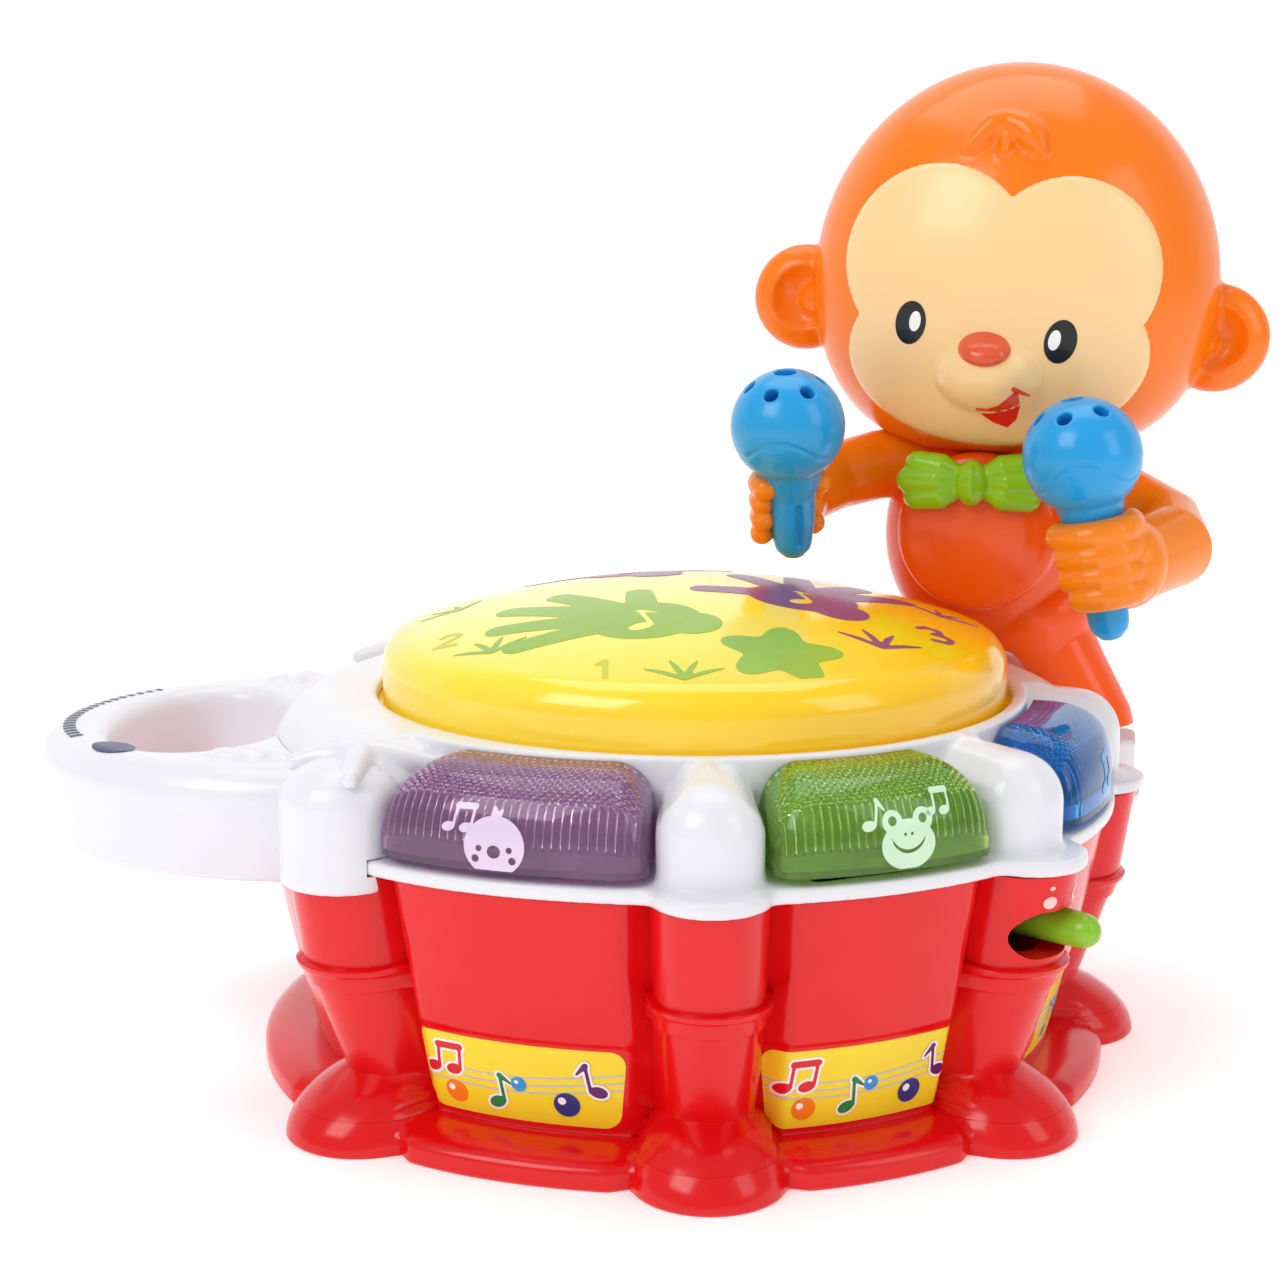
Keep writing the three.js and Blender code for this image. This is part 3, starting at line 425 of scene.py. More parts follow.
def slice_off(shape, point, normal):
    """Removes what a bmesh has beyond a plane and closes the cut."""
    sliced = bmesh.ops.bisect_plane(
        shape, geom=shape.verts[:] + shape.edges[:] + shape.faces[:], plane_co=point, plane_no=normal,
        clear_outer=True)
    rim = [item for item in sliced["geom_cut"] if isinstance(item, bmesh.types.BMEdge)]
    bmesh.ops.triangle_fill(shape, edges=rim, use_beauty=True)
    bmesh.ops.recalc_face_normals(shape, faces=shape.faces)


def half(source, name, side):
    """The part of a shape in front of (side -1) or behind (side 1) the plane y = 0, less half a gap."""
    shape = bmesh.new()
    shape.from_mesh(source.data)
    slice_off(shape, (0, side * GAP / 4 * MM, 0), (0, -side, 0))
    mesh = bpy.data.meshes.new(name)
    shape.to_mesh(mesh)
    shape.free()
    return add_object(name, mesh)


def trim(made, z, keep_below):
    """Cuts a shape flat at a height."""
    shape = bmesh.new()
    shape.from_mesh(made.data)
    slice_off(shape, (0, 0, z * MM), (0, 0, 1 if keep_below else -1))
    shape.to_mesh(made.data)
    shape.free()


def piece(made, material, body, slot, *nodes, sharp=38, place=None):
    """Finishes a visual piece: smooth shading, material, moving body and the CAD nodes it stands for."""
    if place is not None:
        made.data.transform(place)
    made.data.shade_smooth()
    made.data.set_sharp_from_angle(angle=radians(sharp))
    made.data.materials.clear()
    made.data.materials.append(material)
    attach(made, body)
    if nodes:
        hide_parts(*nodes)
    return made


# ---------------------------------------------------------------- flat figures as distance fields


def circle(x, y, radius):
    return lambda u, v: np.hypot(u - x, v - y) - radius


def oval(x, y, a, b, turn=0.0):
    cos, sin = math.cos(radians(turn)), math.sin(radians(turn))

    def field(u, v):
        p, q = (u - x) * cos + (v - y) * sin, (v - y) * cos - (u - x) * sin
        near = np.hypot(p / a, q / b)
        steep = np.hypot(p / a ** 2, q / b ** 2) + 1e-9
        return near * (near - 1) / steep
    return field


def bar(x0, y0, x1, y1, start, end=None):
    """A round-ended bar whose radius may taper."""
    end = start if end is None else end
    dx, dy = x1 - x0, y1 - y0

    def field(u, v):
        t = np.clip(((u - x0) * dx + (v - y0) * dy) / (dx * dx + dy * dy), 0, 1)
        return np.hypot(u - x0 - dx * t, v - y0 - dy * t) - (start + (end - start) * t)
    return field


def tile(x, y, a, b, corner, taper=0.0):
    """A rounded rectangle, narrower towards its lower edge by the taper."""
    def field(u, v):
        width = a + taper * (v - y) / b
        p, q = np.abs(u - x) - width + corner, np.abs(v - y) - b + corner
        return np.hypot(np.maximum(p, 0), np.maximum(q, 0)) + np.minimum(np.maximum(p, q), 0) - corner
    return field


def polygon(*points):
    """The inside of a closed outline."""
    def field(u, v):
        nearest, sign = np.full(u.shape, 1e9), np.ones(u.shape)
        for (x0, y0), (x1, y1) in zip(points, points[1:] + points[:1]):
            dx, dy, p, q = x1 - x0, y1 - y0, u - x0, v - y0
            t = np.clip((p * dx + q * dy) / (dx * dx + dy * dy), 0, 1)
            nearest = np.minimum(nearest, np.hypot(p - dx * t, q - dy * t))
            above, below, left = v >= y0, v < y1, dx * q > dy * p
            sign = np.where((above & below & left) | (~above & ~below & ~left), -sign, sign)
        return sign * nearest
    return field


def join(*fields):
    return lambda u, v: np.minimum.reduce([field(u, v) for field in fields])


def minus(field, *holes):
    return lambda u, v: np.maximum.reduce([field(u, v)] + [-hole(u, v) for hole in holes])


def both(*fields):
    return lambda u, v: np.maximum.reduce([field(u, v) for field in fields])


def grown(field, amount):
    return lambda u, v: field(u, v) - amount


def moved(field, x, y, turn=0.0, size=1.0, mirror=1):
    cos, sin = math.cos(radians(turn)), math.sin(radians(turn))

    def field_there(u, v):
        p, q = u - x, v - y
        return field(mirror * (p * cos + q * sin) / size, (q * cos - p * sin) / size) * size
    return field_there


def star(radius, waist, rounding):
    def field(u, v):
        turn = np.arctan2(v, u) * 5
        return np.hypot(u, v) - (radius + waist) / 2 - (radius - waist) / 2 * np.cos(turn) - rounding
    return field


def printed(name, field, span, step, place, material, body, slot, thick=0.12, sharp=60, frame_at=None):
    """A figure laid on a surface: the inside of a distance field, cut out of a square grid.

    place turns arrays of u, v and distance into points on the surface, and frame_at is the frame
    that those points are in.
    """
    (u0, u1), (v0, v1) = span
    us = np.linspace(u0, u1, max(2, int(round((u1 - u0) / step)) + 1))
    vs = np.linspace(v0, v1, max(2, int(round((v1 - v0) / step)) + 1))
    grid_u, grid_v = np.meshgrid(us, vs, indexing="ij")
    depth = field(grid_u, grid_v)
    inner = depth < 0
    touched = inner[:-1, :-1] | inner[1:, :-1] | inner[1:, 1:] | inner[:-1, 1:]
    index, flat, faces = {}, [], []

    def vertex(key, u, v, d):
        if key not in index:
            index[key] = len(flat)
            flat.append((u, v, d))
        return index[key]

    for i, j in np.argwhere(touched):
        corners = ((i, j), (i + 1, j), (i + 1, j + 1), (i, j + 1))
        face = []
        for a, b in zip(corners, corners[1:] + corners[:1]):
            if inner[a]:
                face.append(vertex(a, us[a[0]], vs[a[1]], depth[a]))
            if inner[a] != inner[b]:
                t = min(0.98, max(0.02, depth[a] / (depth[a] - depth[b])))
                u, v = us[a[0]] + t * (us[b[0]] - us[a[0]]), vs[a[1]] + t * (vs[b[1]] - vs[a[1]])
                face.append(vertex((min(a, b), max(a, b)), u, v, 0.0))
        if len(face) >= 3:
            faces.append(tuple(face))
    flat = np.array(flat)
    lifted = np.stack(place(flat[:, 0], flat[:, 1], flat[:, 2]), axis=1)
    mesh = bpy.data.meshes.new(name)
    mesh.from_pydata((lifted * MM).tolist(), [], faces)
    made = add_object(name, mesh)
    solidify = made.modifiers.new("thickness", "SOLIDIFY")
    solidify.thickness = thick * MM
    solidify.offset = -1
    solidify.use_even_offset = False
    bake(made)
    return piece(made, material, body, slot, sharp=sharp, place=frame_at)


def point_by_point(point):
    """The place of a figure from a function of a single u and v."""
    def place(us, vs, ds):
        return tuple(np.array([point(u, v) for u, v in zip(us, vs)]).T)
    return place


# ---------------------------------------------------------------- drum outline


def between(angle, other):
    return (angle - other + 540) % 360 - 180


def from_column(angle, columns=COLUMN_ANGLES):
    return min((between(angle, column) for column in columns), key=abs)


def column_reach(angle, centre, radius, columns=COLUMN_ANGLES):
    offset = radians(from_column(angle, columns))
    inner = radius ** 2 - (centre * math.sin(offset)) ** 2
    return 0.0 if inner <= 0 or radius <= 0 else centre * math.cos(offset) + math.sqrt(inner)


def mix(pair, t):
    return pair[0] + (pair[1] - pair[0]) * t


def ease(t):
    t = min(1.0, max(0.0, t))
    return t * t * (3 - 2 * t)


def stretch(angle):
    """The drum is a little longer towards the handle."""
    return 1 + HANDLE_SIDE_STRETCH * ease((abs(between(angle, 0)) - STRETCH_START) / STRETCH_SPAN)


def foot_reach(angle, z):
    up = min(1.0, z / FOOT_HEIGHT)
    return column_reach(angle, mix(FOOT_CENTRE, up ** 2), FOOT_RADIUS * math.sqrt(1 - up ** 2))


def sticker_distance(angle, z, centre):
    """Distance in from the edge of the sticker's recess, positive inside."""
    across = abs(between(angle, centre)) * PANEL_MM_PER_DEGREE
    p = STICKER_HALF[0] + RECESS_MARGIN + 0.08 * (z - STICKER_Z) - across
    q = STICKER_HALF[1] + RECESS_MARGIN - abs(z - STICKER_Z)
    if p < RECESS_CORNER and q < RECESS_CORNER:
        return RECESS_CORNER - math.hypot(RECESS_CORNER - p, RECESS_CORNER - q)
    return min(p, q)


def wall_radius(z):
    """The wall between columns, which leans outwards."""
    return mix(PANEL_RADIUS, max(0.0, (z - BASE_TOP) / (PARTING - BASE_TOP)) ** 0.9)


def panel_radius(angle, z):
    """The wall as it curls in beside each column and is sunk behind the sticker."""
    radius = wall_radius(z) - 4.5 * (1 - ease((abs(from_column(angle)) - 7.2) / 3.6))
    for centre, half_angle in LENSES.values():
        if abs(between(angle, centre)) < half_angle + 4:
            radius -= RECESS_DEPTH * ease(sticker_distance(angle, z, centre) / 0.9 + 0.5)
    return radius


def column_profile(angle, z):
    part = 0 if z < COLLAR[1] else 1
    low, high = ((BASE_TOP, COLLAR[1]), (COLLAR[1], PARTING))[part]
    rise = (z - low) / (high - low)
    centre = mix(COLUMN_CENTRE[part:part + 2], rise)
    radius = mix(COLUMN_RADIUS[part:part + 2], rise)
    if COLLAR[0] <= z <= COLLAR[1]:
        lip = ease((z - 43.2) / 0.8) * ease((COLLAR[1] - z) / 0.8)
        radius += 0.9 * ease((z - COLLAR[0]) / 0.5) * ease((COLLAR[1] - z) / 0.4) + 1.0 * lip
    return column_reach(angle, centre, radius)


def case_radius(angle, z):
    return stretch(angle) * max(panel_radius(angle, z), column_profile(angle, z), foot_reach(angle, z))


def base_radius(angle, z):
    round_over = math.sqrt(max(0.0, 1 - max(0.0, (z - SKIRT_SHOULDER) / (BASE_TOP - SKIRT_SHOULDER)) ** 2))
    skirt = SKIRT_TOP_RADIUS + (SKIRT_RADIUS - SKIRT_TOP_RADIUS) * round_over
    skirt -= 2.2 * (1 - ease((abs(from_column(angle)) - 9.5) / 3))
    return stretch(angle) * max(skirt, foot_reach(angle, z))


def beside_lens(angle):
    return any(abs(between(angle, centre)) < half_angle + POCKET_MARGIN
               for centre, half_angle in LENSES.values())


def shell_radius(angle, z):
    if z <= LEDGE_TOP:
        flange = column_reach(angle, FLANGE_CENTRE, FLANGE_RADIUS, FREE_COLUMNS)
        return stretch(angle) * max(LEDGE_RADIUS, flange)
    up = (z - SHOULDER_Z) / (RIM_TOP - SHOULDER_Z)
    wall = SHOULDER_RADIUS + SHOULDER_BULGE * math.sqrt(max(0.0, 1 - up ** 2))
    if beside_lens(angle):
        wall = POCKET_RADIUS
    dome = max(0.0, (z - CAP_SHOULDER) / (CAP_TOP - CAP_SHOULDER))
    cap = CAP_RADIUS * math.sqrt(max(0.0, 1 - dome ** 2))
    return stretch(angle) * max(wall, column_reach(angle, CAP_CENTRE, cap))


def plain_case(angle, z):
    """The case without its panel details, to trim neighbours by."""
    return stretch(angle) * max(wall_radius(z), column_profile(angle, z))


def drum_tool(name, grow=GAP, size=1.0):
    """Everything that the drum fills, to trim the pieces that sit against it."""
    low = (34, 38.9, 39.5, 45.5, 46.1, 52, 58, 64, 68.99)
    high = (73.05, 76, 79, 82, 85, 88, 90, 92, 94, 95.5, 96.6, 97.4)

    def profile(angle):
        points = [(plain_case(angle, z) + grow, z) for z in low]
        points += [(shell_radius(angle, LEDGE_TOP) + grow, z) for z in (69.0, LEDGE_TOP + grow)]
        points += [(shell_radius(angle, z) + grow, z + grow) for z in high]
        points.append((RIM_EDGE * stretch(angle), RIM_TOP + grow))
        return [(20 * stretch(angle), 34)] + points + [(20, RIM_TOP + grow)]
    made = loft_around(name, profile)
    made.data.transform(Matrix.Diagonal((size, size, 1 + (size - 1) * 0.86, 1)))
    return made


def lens_point(centre, half_angle, away, t, inset=0.0, pattern=False):
    """A point on a lens. t runs from 0 at the foot of the front face to 1 at the back of the top."""
    turn = t * math.pi / 2
    power = 2 / 2.9
    out, up = math.cos(turn) ** power if t < 1 else 0.0, math.sin(turn) ** power
    end_top = max(0.0, (abs(away) - (half_angle - 6)) / 6)
    end_side = max(0.0, (abs(away) - (half_angle - 4)) / 4)
    drop = 12 * (1 - math.sqrt(max(0.0, 1 - end_top ** 2)))
    tuck = 5 * (1 - math.sqrt(max(0.0, 1 - end_side ** 2)))
    depth = inset
    if pattern:
        # Ribs up the front and beads on the top.
        across = away * LENS_MM_PER_DEGREE
        ribs = abs(math.cos(across * math.pi / RIB_PITCH))
        beads = math.sin(across * math.pi / BEAD_PITCH) * math.sin(t * LENS_ARC * math.pi / BEAD_PITCH)
        blend = ease((t - 0.42) / 0.06)
        ribs *= (1 - blend) * ease((t - 0.09) / 0.02)
        depth -= RELIEF_DEPTH * (ribs + math.sqrt(max(0.0, beads)) * blend)
    widen = stretch(centre + away)
    radius = LENS_BACK * widen + (LENS_FRONT * widen - LENS_BACK * widen - tuck - depth) * out
    z = LENS_Z[0] + (LENS_Z[1] - LENS_Z[0] - drop - depth) * up
    return radius, z


def lens_body(name, centre, half_angle, inset, pattern, rows, columns, foot):
    rings = []
    limit = half_angle - inset * 0.5
    for i in range(columns + 1):
        away = limit * (2 * i / columns - 1)
        profile = [lens_point(centre, half_angle, away, j / rows, inset, pattern) for j in range(rows + 1)]
        back = LENS_BACK * stretch(centre + away) + inset
        upper = [(r, max(z, foot)) for r, z in profile[1:]]
        ring = [(back, foot), (profile[0][0], foot)] + upper + [(back, upper[-1][1])]
        rings.append([polar(r, away, z) for r, z in ring])
    return skin(name, rings)


# ---------------------------------------------------------------- base and battery bay


def screw_places():
    return [polar(SCREW_RING * stretch(angle), angle, 0)[:2] for angle in SCREW_ANGLES]


def base_tray():
    heights = [0, 0.6, 2, SKIRT_SHOULDER, 5, 6, 7, 7.6, BASE_TOP]

    def profile(angle):
        outer = [(base_radius(angle, z) - (0.5 if z == 0 else 0), z) for z in heights]
        inner = [(base_radius(angle, z) - WALL - 1.6, z) for z in (BASE_TOP, 6, 4, WALL)]
        return outer + inner + [(2, WALL), (2, 0)]
    tray = loft_around("base_tray", profile, 0.75)
    plug = rod("plug", 3, (0.0, WALL))
    bay = block("bay", *BAY_OUTSIDE, (1, 22.5))
    boss = block("boss", (31.6, 46), (-47.5, -36.5), (1, 18))
    boolean(tray, "UNION", plug, bay, boss)
    cut(tray, block("hollow", *BAY_INSIDE, (-1, 20.5)))
    cut(tray, block("opening", *DOORWAY, (-1, WALL + 0.1)))
    holes = [rod("hole", 1.65, (-1, 15), *DOOR_SCREW)]
    holes += [rod("hole", 3.9, (-1, 12), x, y) for x, y in screw_places()]
    holes += [rod("hole", 2.4, (-1, 4), *SPEAKER_CENTRE)]
    for ring, count in ((9, 6), (17, 12)):
        for i in range(count):
            x, y, _ = polar(ring, 360 * i / count, 0)
            holes.append(rod("hole", 1.9, (-1, 4), x + SPEAKER_CENTRE[0], y + SPEAKER_CENTRE[1], segments=20))
    return cut(tray, gather("holes", *holes))


def posts():
    made = []
    for i, (x, y) in enumerate(screw_places()):
        ring = [(3.9, WALL + 0.2), (5.2, WALL + 0.2), (5.2, 57.7), (1.8, 57.7), (1.8, 40), (3.9, 40)]
        post = turned(f"post_{i}", ring, 28)
        post.data.transform(shift(x, y))
        made.append(post)
    return made


piece(gather("base_with_posts", base_tray(), *posts()), RED, "drum", "red_plastic", "base_plate", sharp=32)


def battery_door():
    plate = block("door_panel", *DOOR, (0.4, 2.2))
    bevel = plate.modifiers.new("edge", "BEVEL")
    bevel.width, bevel.segments, bevel.limit_method = 0.5 * MM, 3, "ANGLE"
    bake(plate)
    ribs = [block("rib", (x, x + 1.2), (-52, -32), (-1, 0.75)) for x in range(-28, -12, 3)]
    cut(plate, gather("holes", rod("hole", 3.6, (0, 1.85), *DOOR_SCREW), *ribs))
    return cut(plate, rod("hole", 1.9, (-1, 4), *DOOR_SCREW))


piece(battery_door(), RED, "battery_door", "red_plastic", "battery_door", sharp=32)

# ---------------------------------------------------------------- red case


def stadium(name, half_length, radius, x):
    """A bar with half-round ends, along X, to cut the switch slot at angle 0."""
    ring = [(half_length + radius * math.cos(radians(t)), radius * math.sin(radians(t)))
            for t in range(-90, 91, 15)]
    ring += [(-a, -b) for a, b in ring]
    made = skin(name, [[(depth, a, SWITCH_Z + b) for a, b in ring] for depth in x])
    made.data.transform(spin(SWITCH_ANGLE))
    return made


def red_case():
    collar = [38.95, 39.05, 39.5, 43.3, 43.9, 44.6, 45.2, 45.6, 45.99, 46.01]
    heights = np.arange(BASE_TOP + SEAM, PARTING - 0.2, 0.9).tolist() + collar + [PARTING - GAP / 2]
    heights = sorted(set(heights))

    def profile(angle):
        outer = [(case_radius(angle, z), z) for z in heights]
        inner = []
        for z in (PARTING - GAP / 2, 56, 45, 34, 20, 12, BASE_TOP + SEAM):
            near = min(plain_case(angle + side, z) for side in (-1.5, 0, 1.5))
            inner.append((near - WALL - 5.2, z))
        return outer + inner
    made = loft_around("case_wall", profile, 0.75)
    cut(made, stadium("slot", SWITCH_TRAVEL / 2 + 0.5, 6, (70, 135)))
    # A dished lip round the slot.
    return cut(made, stadium("lip", SWITCH_TRAVEL / 2 + 0.5, 7.1, (119.8, 135)))


piece(red_case(), RED, "drum", "red_plastic", "lower_case", sharp=34)


def slide_knob():
    """A thumb button with a rounded nose on a back plate that stays behind the slot."""
    plate = block("plate", (95.5, 97.5), (-12, 12), (SWITCH_Z - 7.5, SWITCH_Z + 7.5))
    nose = tube("nose", [(97.5, 0, SWITCH_Z), (112, 0, SWITCH_Z), (122.6, 0, SWITCH_Z)], [4.7, 4.7, 4.3])
    made = melt("thumb_knob", plate, nose, voxel=0.4, smooth=3)
    return piece(made, KNOB, "power_switch", "knob_green_plastic", "power_switch_knob",
                 place=spin(SWITCH_ANGLE) @ shift(0, SWITCH_TRAVEL / 2))


slide_knob()

# ---------------------------------------------------------------- white shell


def white_shell():
    heights = [LEDGE_TOP + 0.01] + [74 + 1.5 * i for i in range(15)] + [95.9, 96.21, 96.8, 97.3, 97.7]

    def profile(angle):
        ledge = shell_radius(angle, LEDGE_TOP)
        points = [(CAVITY_RADIUS + 4, PARTING + GAP / 2), (ledge, PARTING + GAP / 2), (ledge, LEDGE_TOP)]
        points += [(shell_radius(angle, z), LEDGE_TOP if i == 0 else z) for i, z in enumerate(heights)]
        points += [(RIM_EDGE, RIM_TOP), (WELL_RADIUS, RIM_TOP), (WELL_RADIUS, 95), (CAVITY_RADIUS, 95)]
        return points + [(CAVITY_RADIUS, 74.5), (CAVITY_RADIUS + 4, 74.5)]
    ring = loft_around("ring", profile, 0.75)
    for centre, _ in LENSES.values():
        window = block("window", (95, 106), (-18, 12), (66, 74))
        window.data.transform(spin(centre))
        cut(ring, window)
    parts = [ring]
    for column in TIED_COLUMNS:
        parts += tied_cap(column)
    for column in FREE_COLUMNS:
        # A soft ridge carries each cap back into the rim.
        reach = [polar(r, column, z) for r, z in ((90, 88.5), (97, 87.5), (103, 86))]
        parts.append(tube("ridge", reach, (8.5, 9.2, 9.8), 40))
    made = melt("top_shell", *parts, voxel=0.75, smooth=9)
    # Room for each lens, and for its travel when it is pressed.
    for centre, half_angle in LENSES.values():
        pocket = lens_body("pocket", centre, half_angle + 0.25, -0.4, False, 24, 60, LEDGE_TOP + 0.15)
        pocket.data.transform(spin(centre))
        cut(made, pocket)
    return made


def tied_cap(column):
    """Two bands that cross over a column beside the handle, and the knot where they meet."""
    head = CAP_CENTRE * stretch(column)
    parts = []
    for side in (-1, 1):
        path = [(head - 13 + 4.7 * i, side * (12 - 4.8 * i), 92.4 + 2.6 * math.sin(i * 0.63))
                for i in range(6)]
        parts.append(tube("band", path, (2.4, 3.0, 3.4, 3.4, 3.0, 2.4), 20))
    parts.append(ball("knot", (head - 2.5, 0, 96), (4.5, 4.5, 2.8)))
    for part in parts:
        part.data.transform(spin(column))
    return parts


piece(white_shell(), WHITE, "drum", "white_plastic", "upper_shell", sharp=50)


def outer_edge(inset, cos, sin):
    """A point on the handle's outer ellipse, or inside it by the inset."""
    return HANDLE_CENTRE + (HANDLE_SIZE[0] - inset) * cos, (HANDLE_SIZE[1] - inset) * sin


def grip_edge(inset, cos, sin):
    """A point on the edge of the grip hole, or out from it by the inset."""
    return HOLE_CENTRE + (HOLE_SIZE[0] + inset) * cos, (HOLE_SIZE[1] + inset) * sin


def handle_section(cos, sin):
    """The handle's section at one turn, hollow from below."""
    low, high = HANDLE_Z
    rows = [(outer_edge, HANDLE_FOOT, low), (outer_edge, 0.3, low + 0.4), (outer_edge, 0, low + HANDLE_FOOT)]
    for t in range(0, 91, 15):
        across, up = 1 - math.cos(radians(t)), 1 - math.sin(radians(t))
        rows.append((outer_edge, HANDLE_ROUND * across, high - HANDLE_ROUND * up))
    for t in range(0, 91, 18):
        across, up = 1 - math.sin(radians(t)), 1 - math.cos(radians(t))
        rows.append((grip_edge, HOLE_ROUND * across, high - HOLE_ROUND * up))
    rows += [(grip_edge, 0, low + HANDLE_FOOT), (grip_edge, 0.3, low + 0.4), (grip_edge, HANDLE_FOOT, low)]
    rows += [(grip_edge, HANDLE_WALL, low), (grip_edge, HANDLE_WALL, HOLLOW_TOP)]
    rows += [(outer_edge, HANDLE_WALL, HOLLOW_TOP), (outer_edge, HANDLE_WALL, low)]
    return [(*edge(inset, cos, sin), z) for edge, inset, z in rows]


def leaf_knot(side):
    """A raised knot with two leaf ends on an arm of the handle."""
    x, y, z = -112, side * 50.5, HANDLE_Z[1] - 0.6
    parts = [ball("bud", (x, y, z), (5.2, 4.2, 3.4))]
    parts.append(ball("bud", (x - 7.5, y - side * 2.5, z), (4.6, 5.6, 2.8)))
    parts.append(tube("band", [(x - 3, y - side * 8, z), (x - 1, y, z + 0.6), (x + 3, y + side * 7, z - 1.6)],
                      (2.2, 2.8, 2.2), 16))
    parts.append(tube("band", [(x + 1, y, z + 0.4), (x + 8, y - side * 2, z)], (2.6, 1.8), 16))
    return parts


def carrying_handle():
    turns = np.linspace(0, 2 * math.pi, 200, endpoint=False)
    ring = skin("ring", [handle_section(math.cos(t), math.sin(t)) for t in turns], wrap=True)
    cut(ring, block("bridge", (HANDLE_END, 10), (-90, 90), (30, 110)))
    parts = [ring]
    for side in (-1, 1):
        parts += leaf_knot(side)
    for column in TIED_COLUMNS:
        # The handle clasps the columns that it grows out of.
        x, y, _ = polar((FLANGE_CENTRE - 1) * stretch(column), column, 0)
        parts.append(rod("clasp", CLASP_RADIUS, CLASP_Z, x, y, 72))
        parts.append(ball("clasp_top", (x, y, CLASP_Z[1]), (CLASP_RADIUS, CLASP_RADIUS, 10), (64, 32)))
    made = melt("handle_loop", *parts, voxel=0.75, smooth=8)
    return cut(made, drum_tool("tool"))


piece(carrying_handle(), WHITE, "drum", "white_plastic", "carry_handle", sharp=45)


def under_cover():
    """The plate that closes the handle from below."""
    low, high = HANDLE_Z[0] + 1.5, HANDLE_Z[0] + 3.5
    rings = []
    for t in np.linspace(0, 2 * math.pi, 160, endpoint=False):
        a, b = (edge(HANDLE_WALL + GAP, math.cos(t), math.sin(t)) for edge in (outer_edge, grip_edge))
        rings.append([(*a, low), (*a, high), (*b, high), (*b, low)])
    made = skin("handle_underside", rings, wrap=True)
    cut(made, block("bridge", (HANDLE_END, 10), (-90, 90), (30, 110)))
    return cut(made, drum_tool("tool"))


piece(under_cover(), WHITE, "drum", "white_plastic", "handle_cover", sharp=30)

# ---------------------------------------------------------------- drum pad


def pad_height(radius):
    """Height of the pad's upper surface at a distance from the axis."""
    edge = PAD_RADIUS - PAD_EDGE_ROUND
    turn = radians(66)
    break_radius = edge + PAD_EDGE_ROUND * math.cos(turn)
    break_height = PAD_SHOULDER + PAD_EDGE_ROUND * math.sin(turn)
    crown = PAD_TOP - (PAD_TOP - break_height) * (radius / break_radius) ** 2
    corner = PAD_SHOULDER + np.sqrt(np.maximum(0, PAD_EDGE_ROUND ** 2 - np.maximum(0, radius - edge) ** 2))
    return np.where(radius < break_radius, crown, corner)


def pad_dome():
    crown = np.linspace(0, 76, 24).tolist()
    crown += [PAD_RADIUS - PAD_EDGE_ROUND + PAD_EDGE_ROUND * math.sin(radians(t))
              for t in (18, 30, 42, 54, 66, 76, 84, 90)]
    top = [(r, float(pad_height(np.array(r)))) for r in crown]
    side = [(PAD_RADIUS, 100), (PAD_RADIUS, 94.6), (86, 94.6), (86, 92.2), (77, 92.2), (77, 94.6),
            (PAD_RADIUS - WALL, 94.6)]
    inside = [(PAD_RADIUS - WALL, PAD_SHOULDER)]
    inside += [(r * (PAD_RADIUS - WALL) / PAD_RADIUS, h - WALL) for r, h in top[::-1] if r < 80]
    return turned("pad_dome", top + side + inside, 128)


piece(pad_dome(), YELLOW, "drum_pad", "yellow_translucent", "drum_pad", sharp=35)


def on_pad(u, v, d):
    return u, v, pad_height(np.hypot(u, v)) + 0.12


def note(size=1.0):
    """A quaver: a slanting head, a stem and a flag."""
    parts = oval(0, 0, 2.3, 1.6, 20), bar(2.0, 0.3, 2.0, 7.6, 0.45), bar(2.0, 7.6, 4.6, 5.4, 0.8, 0.3)
    return moved(join(*parts), 0, 0, size=size)


def double_note(size=1.0):
    """Two quavers under one beam."""
    heads = join(oval(-2.6, 0, 2.2, 1.5, 20), oval(3.4, 0.8, 2.2, 1.5, 20))
    stems = join(bar(-0.8, 0.3, -0.8, 7, 0.45), bar(5.2, 1.1, 5.2, 7.8, 0.45), bar(-0.8, 6.8, 5.2, 7.6, 0.95))
    return moved(join(heads, stems), 0, 0, size=size)


def hand(palm, wrist, *tips):
    """A hand print: a round palm with a note left out of it, a wrist and tapering fingers."""
    fingers = [bar(palm[0] + (x - palm[0]) * 0.3, palm[1] + (y - palm[1]) * 0.3, x, y, 4.6, 3.6)
               for x, y in tips]
    shape = join(oval(*palm, 14.5, 13.5), bar(*palm, *wrist, 8.5, 7.5), *fingers)
    return minus(shape, moved(note(1.5), palm[0] - 1, palm[1] - 5, 15))


def stroke(*points):
    """A line of even width through some points."""
    return join(*(bar(*a, *b, 0.75) for a, b in zip(points, points[1:])))


ONE = stroke((-1.6, 3), (0.2, 4.6), (0.2, -4.6))
TWO = stroke((-2.4, 2.6), (-1.4, 4.2), (1, 4.4), (2.4, 2.8), (1.8, 0.8), (-2.6, -4.4), (2.8, -4.4))
THREE = stroke((-2.4, 3.4), (0, 4.6), (2.2, 3.2), (1.6, 1), (-0.4, 0.3), (1.8, -0.5), (2.6, -2.6),
               (0.6, -4.5), (-2.4, -3.6))


def tuft():
    """Four blades of grass."""
    return join(*(join(bar(0, 0, x * 0.55, y * 0.62, 0.75, 0.8), bar(x * 0.55, y * 0.62, x, y, 0.8, 0.3))
                  for x, y in ((-9.5, 5.5), (-3.5, 9.5), (3.5, 9), (9.5, 5))))


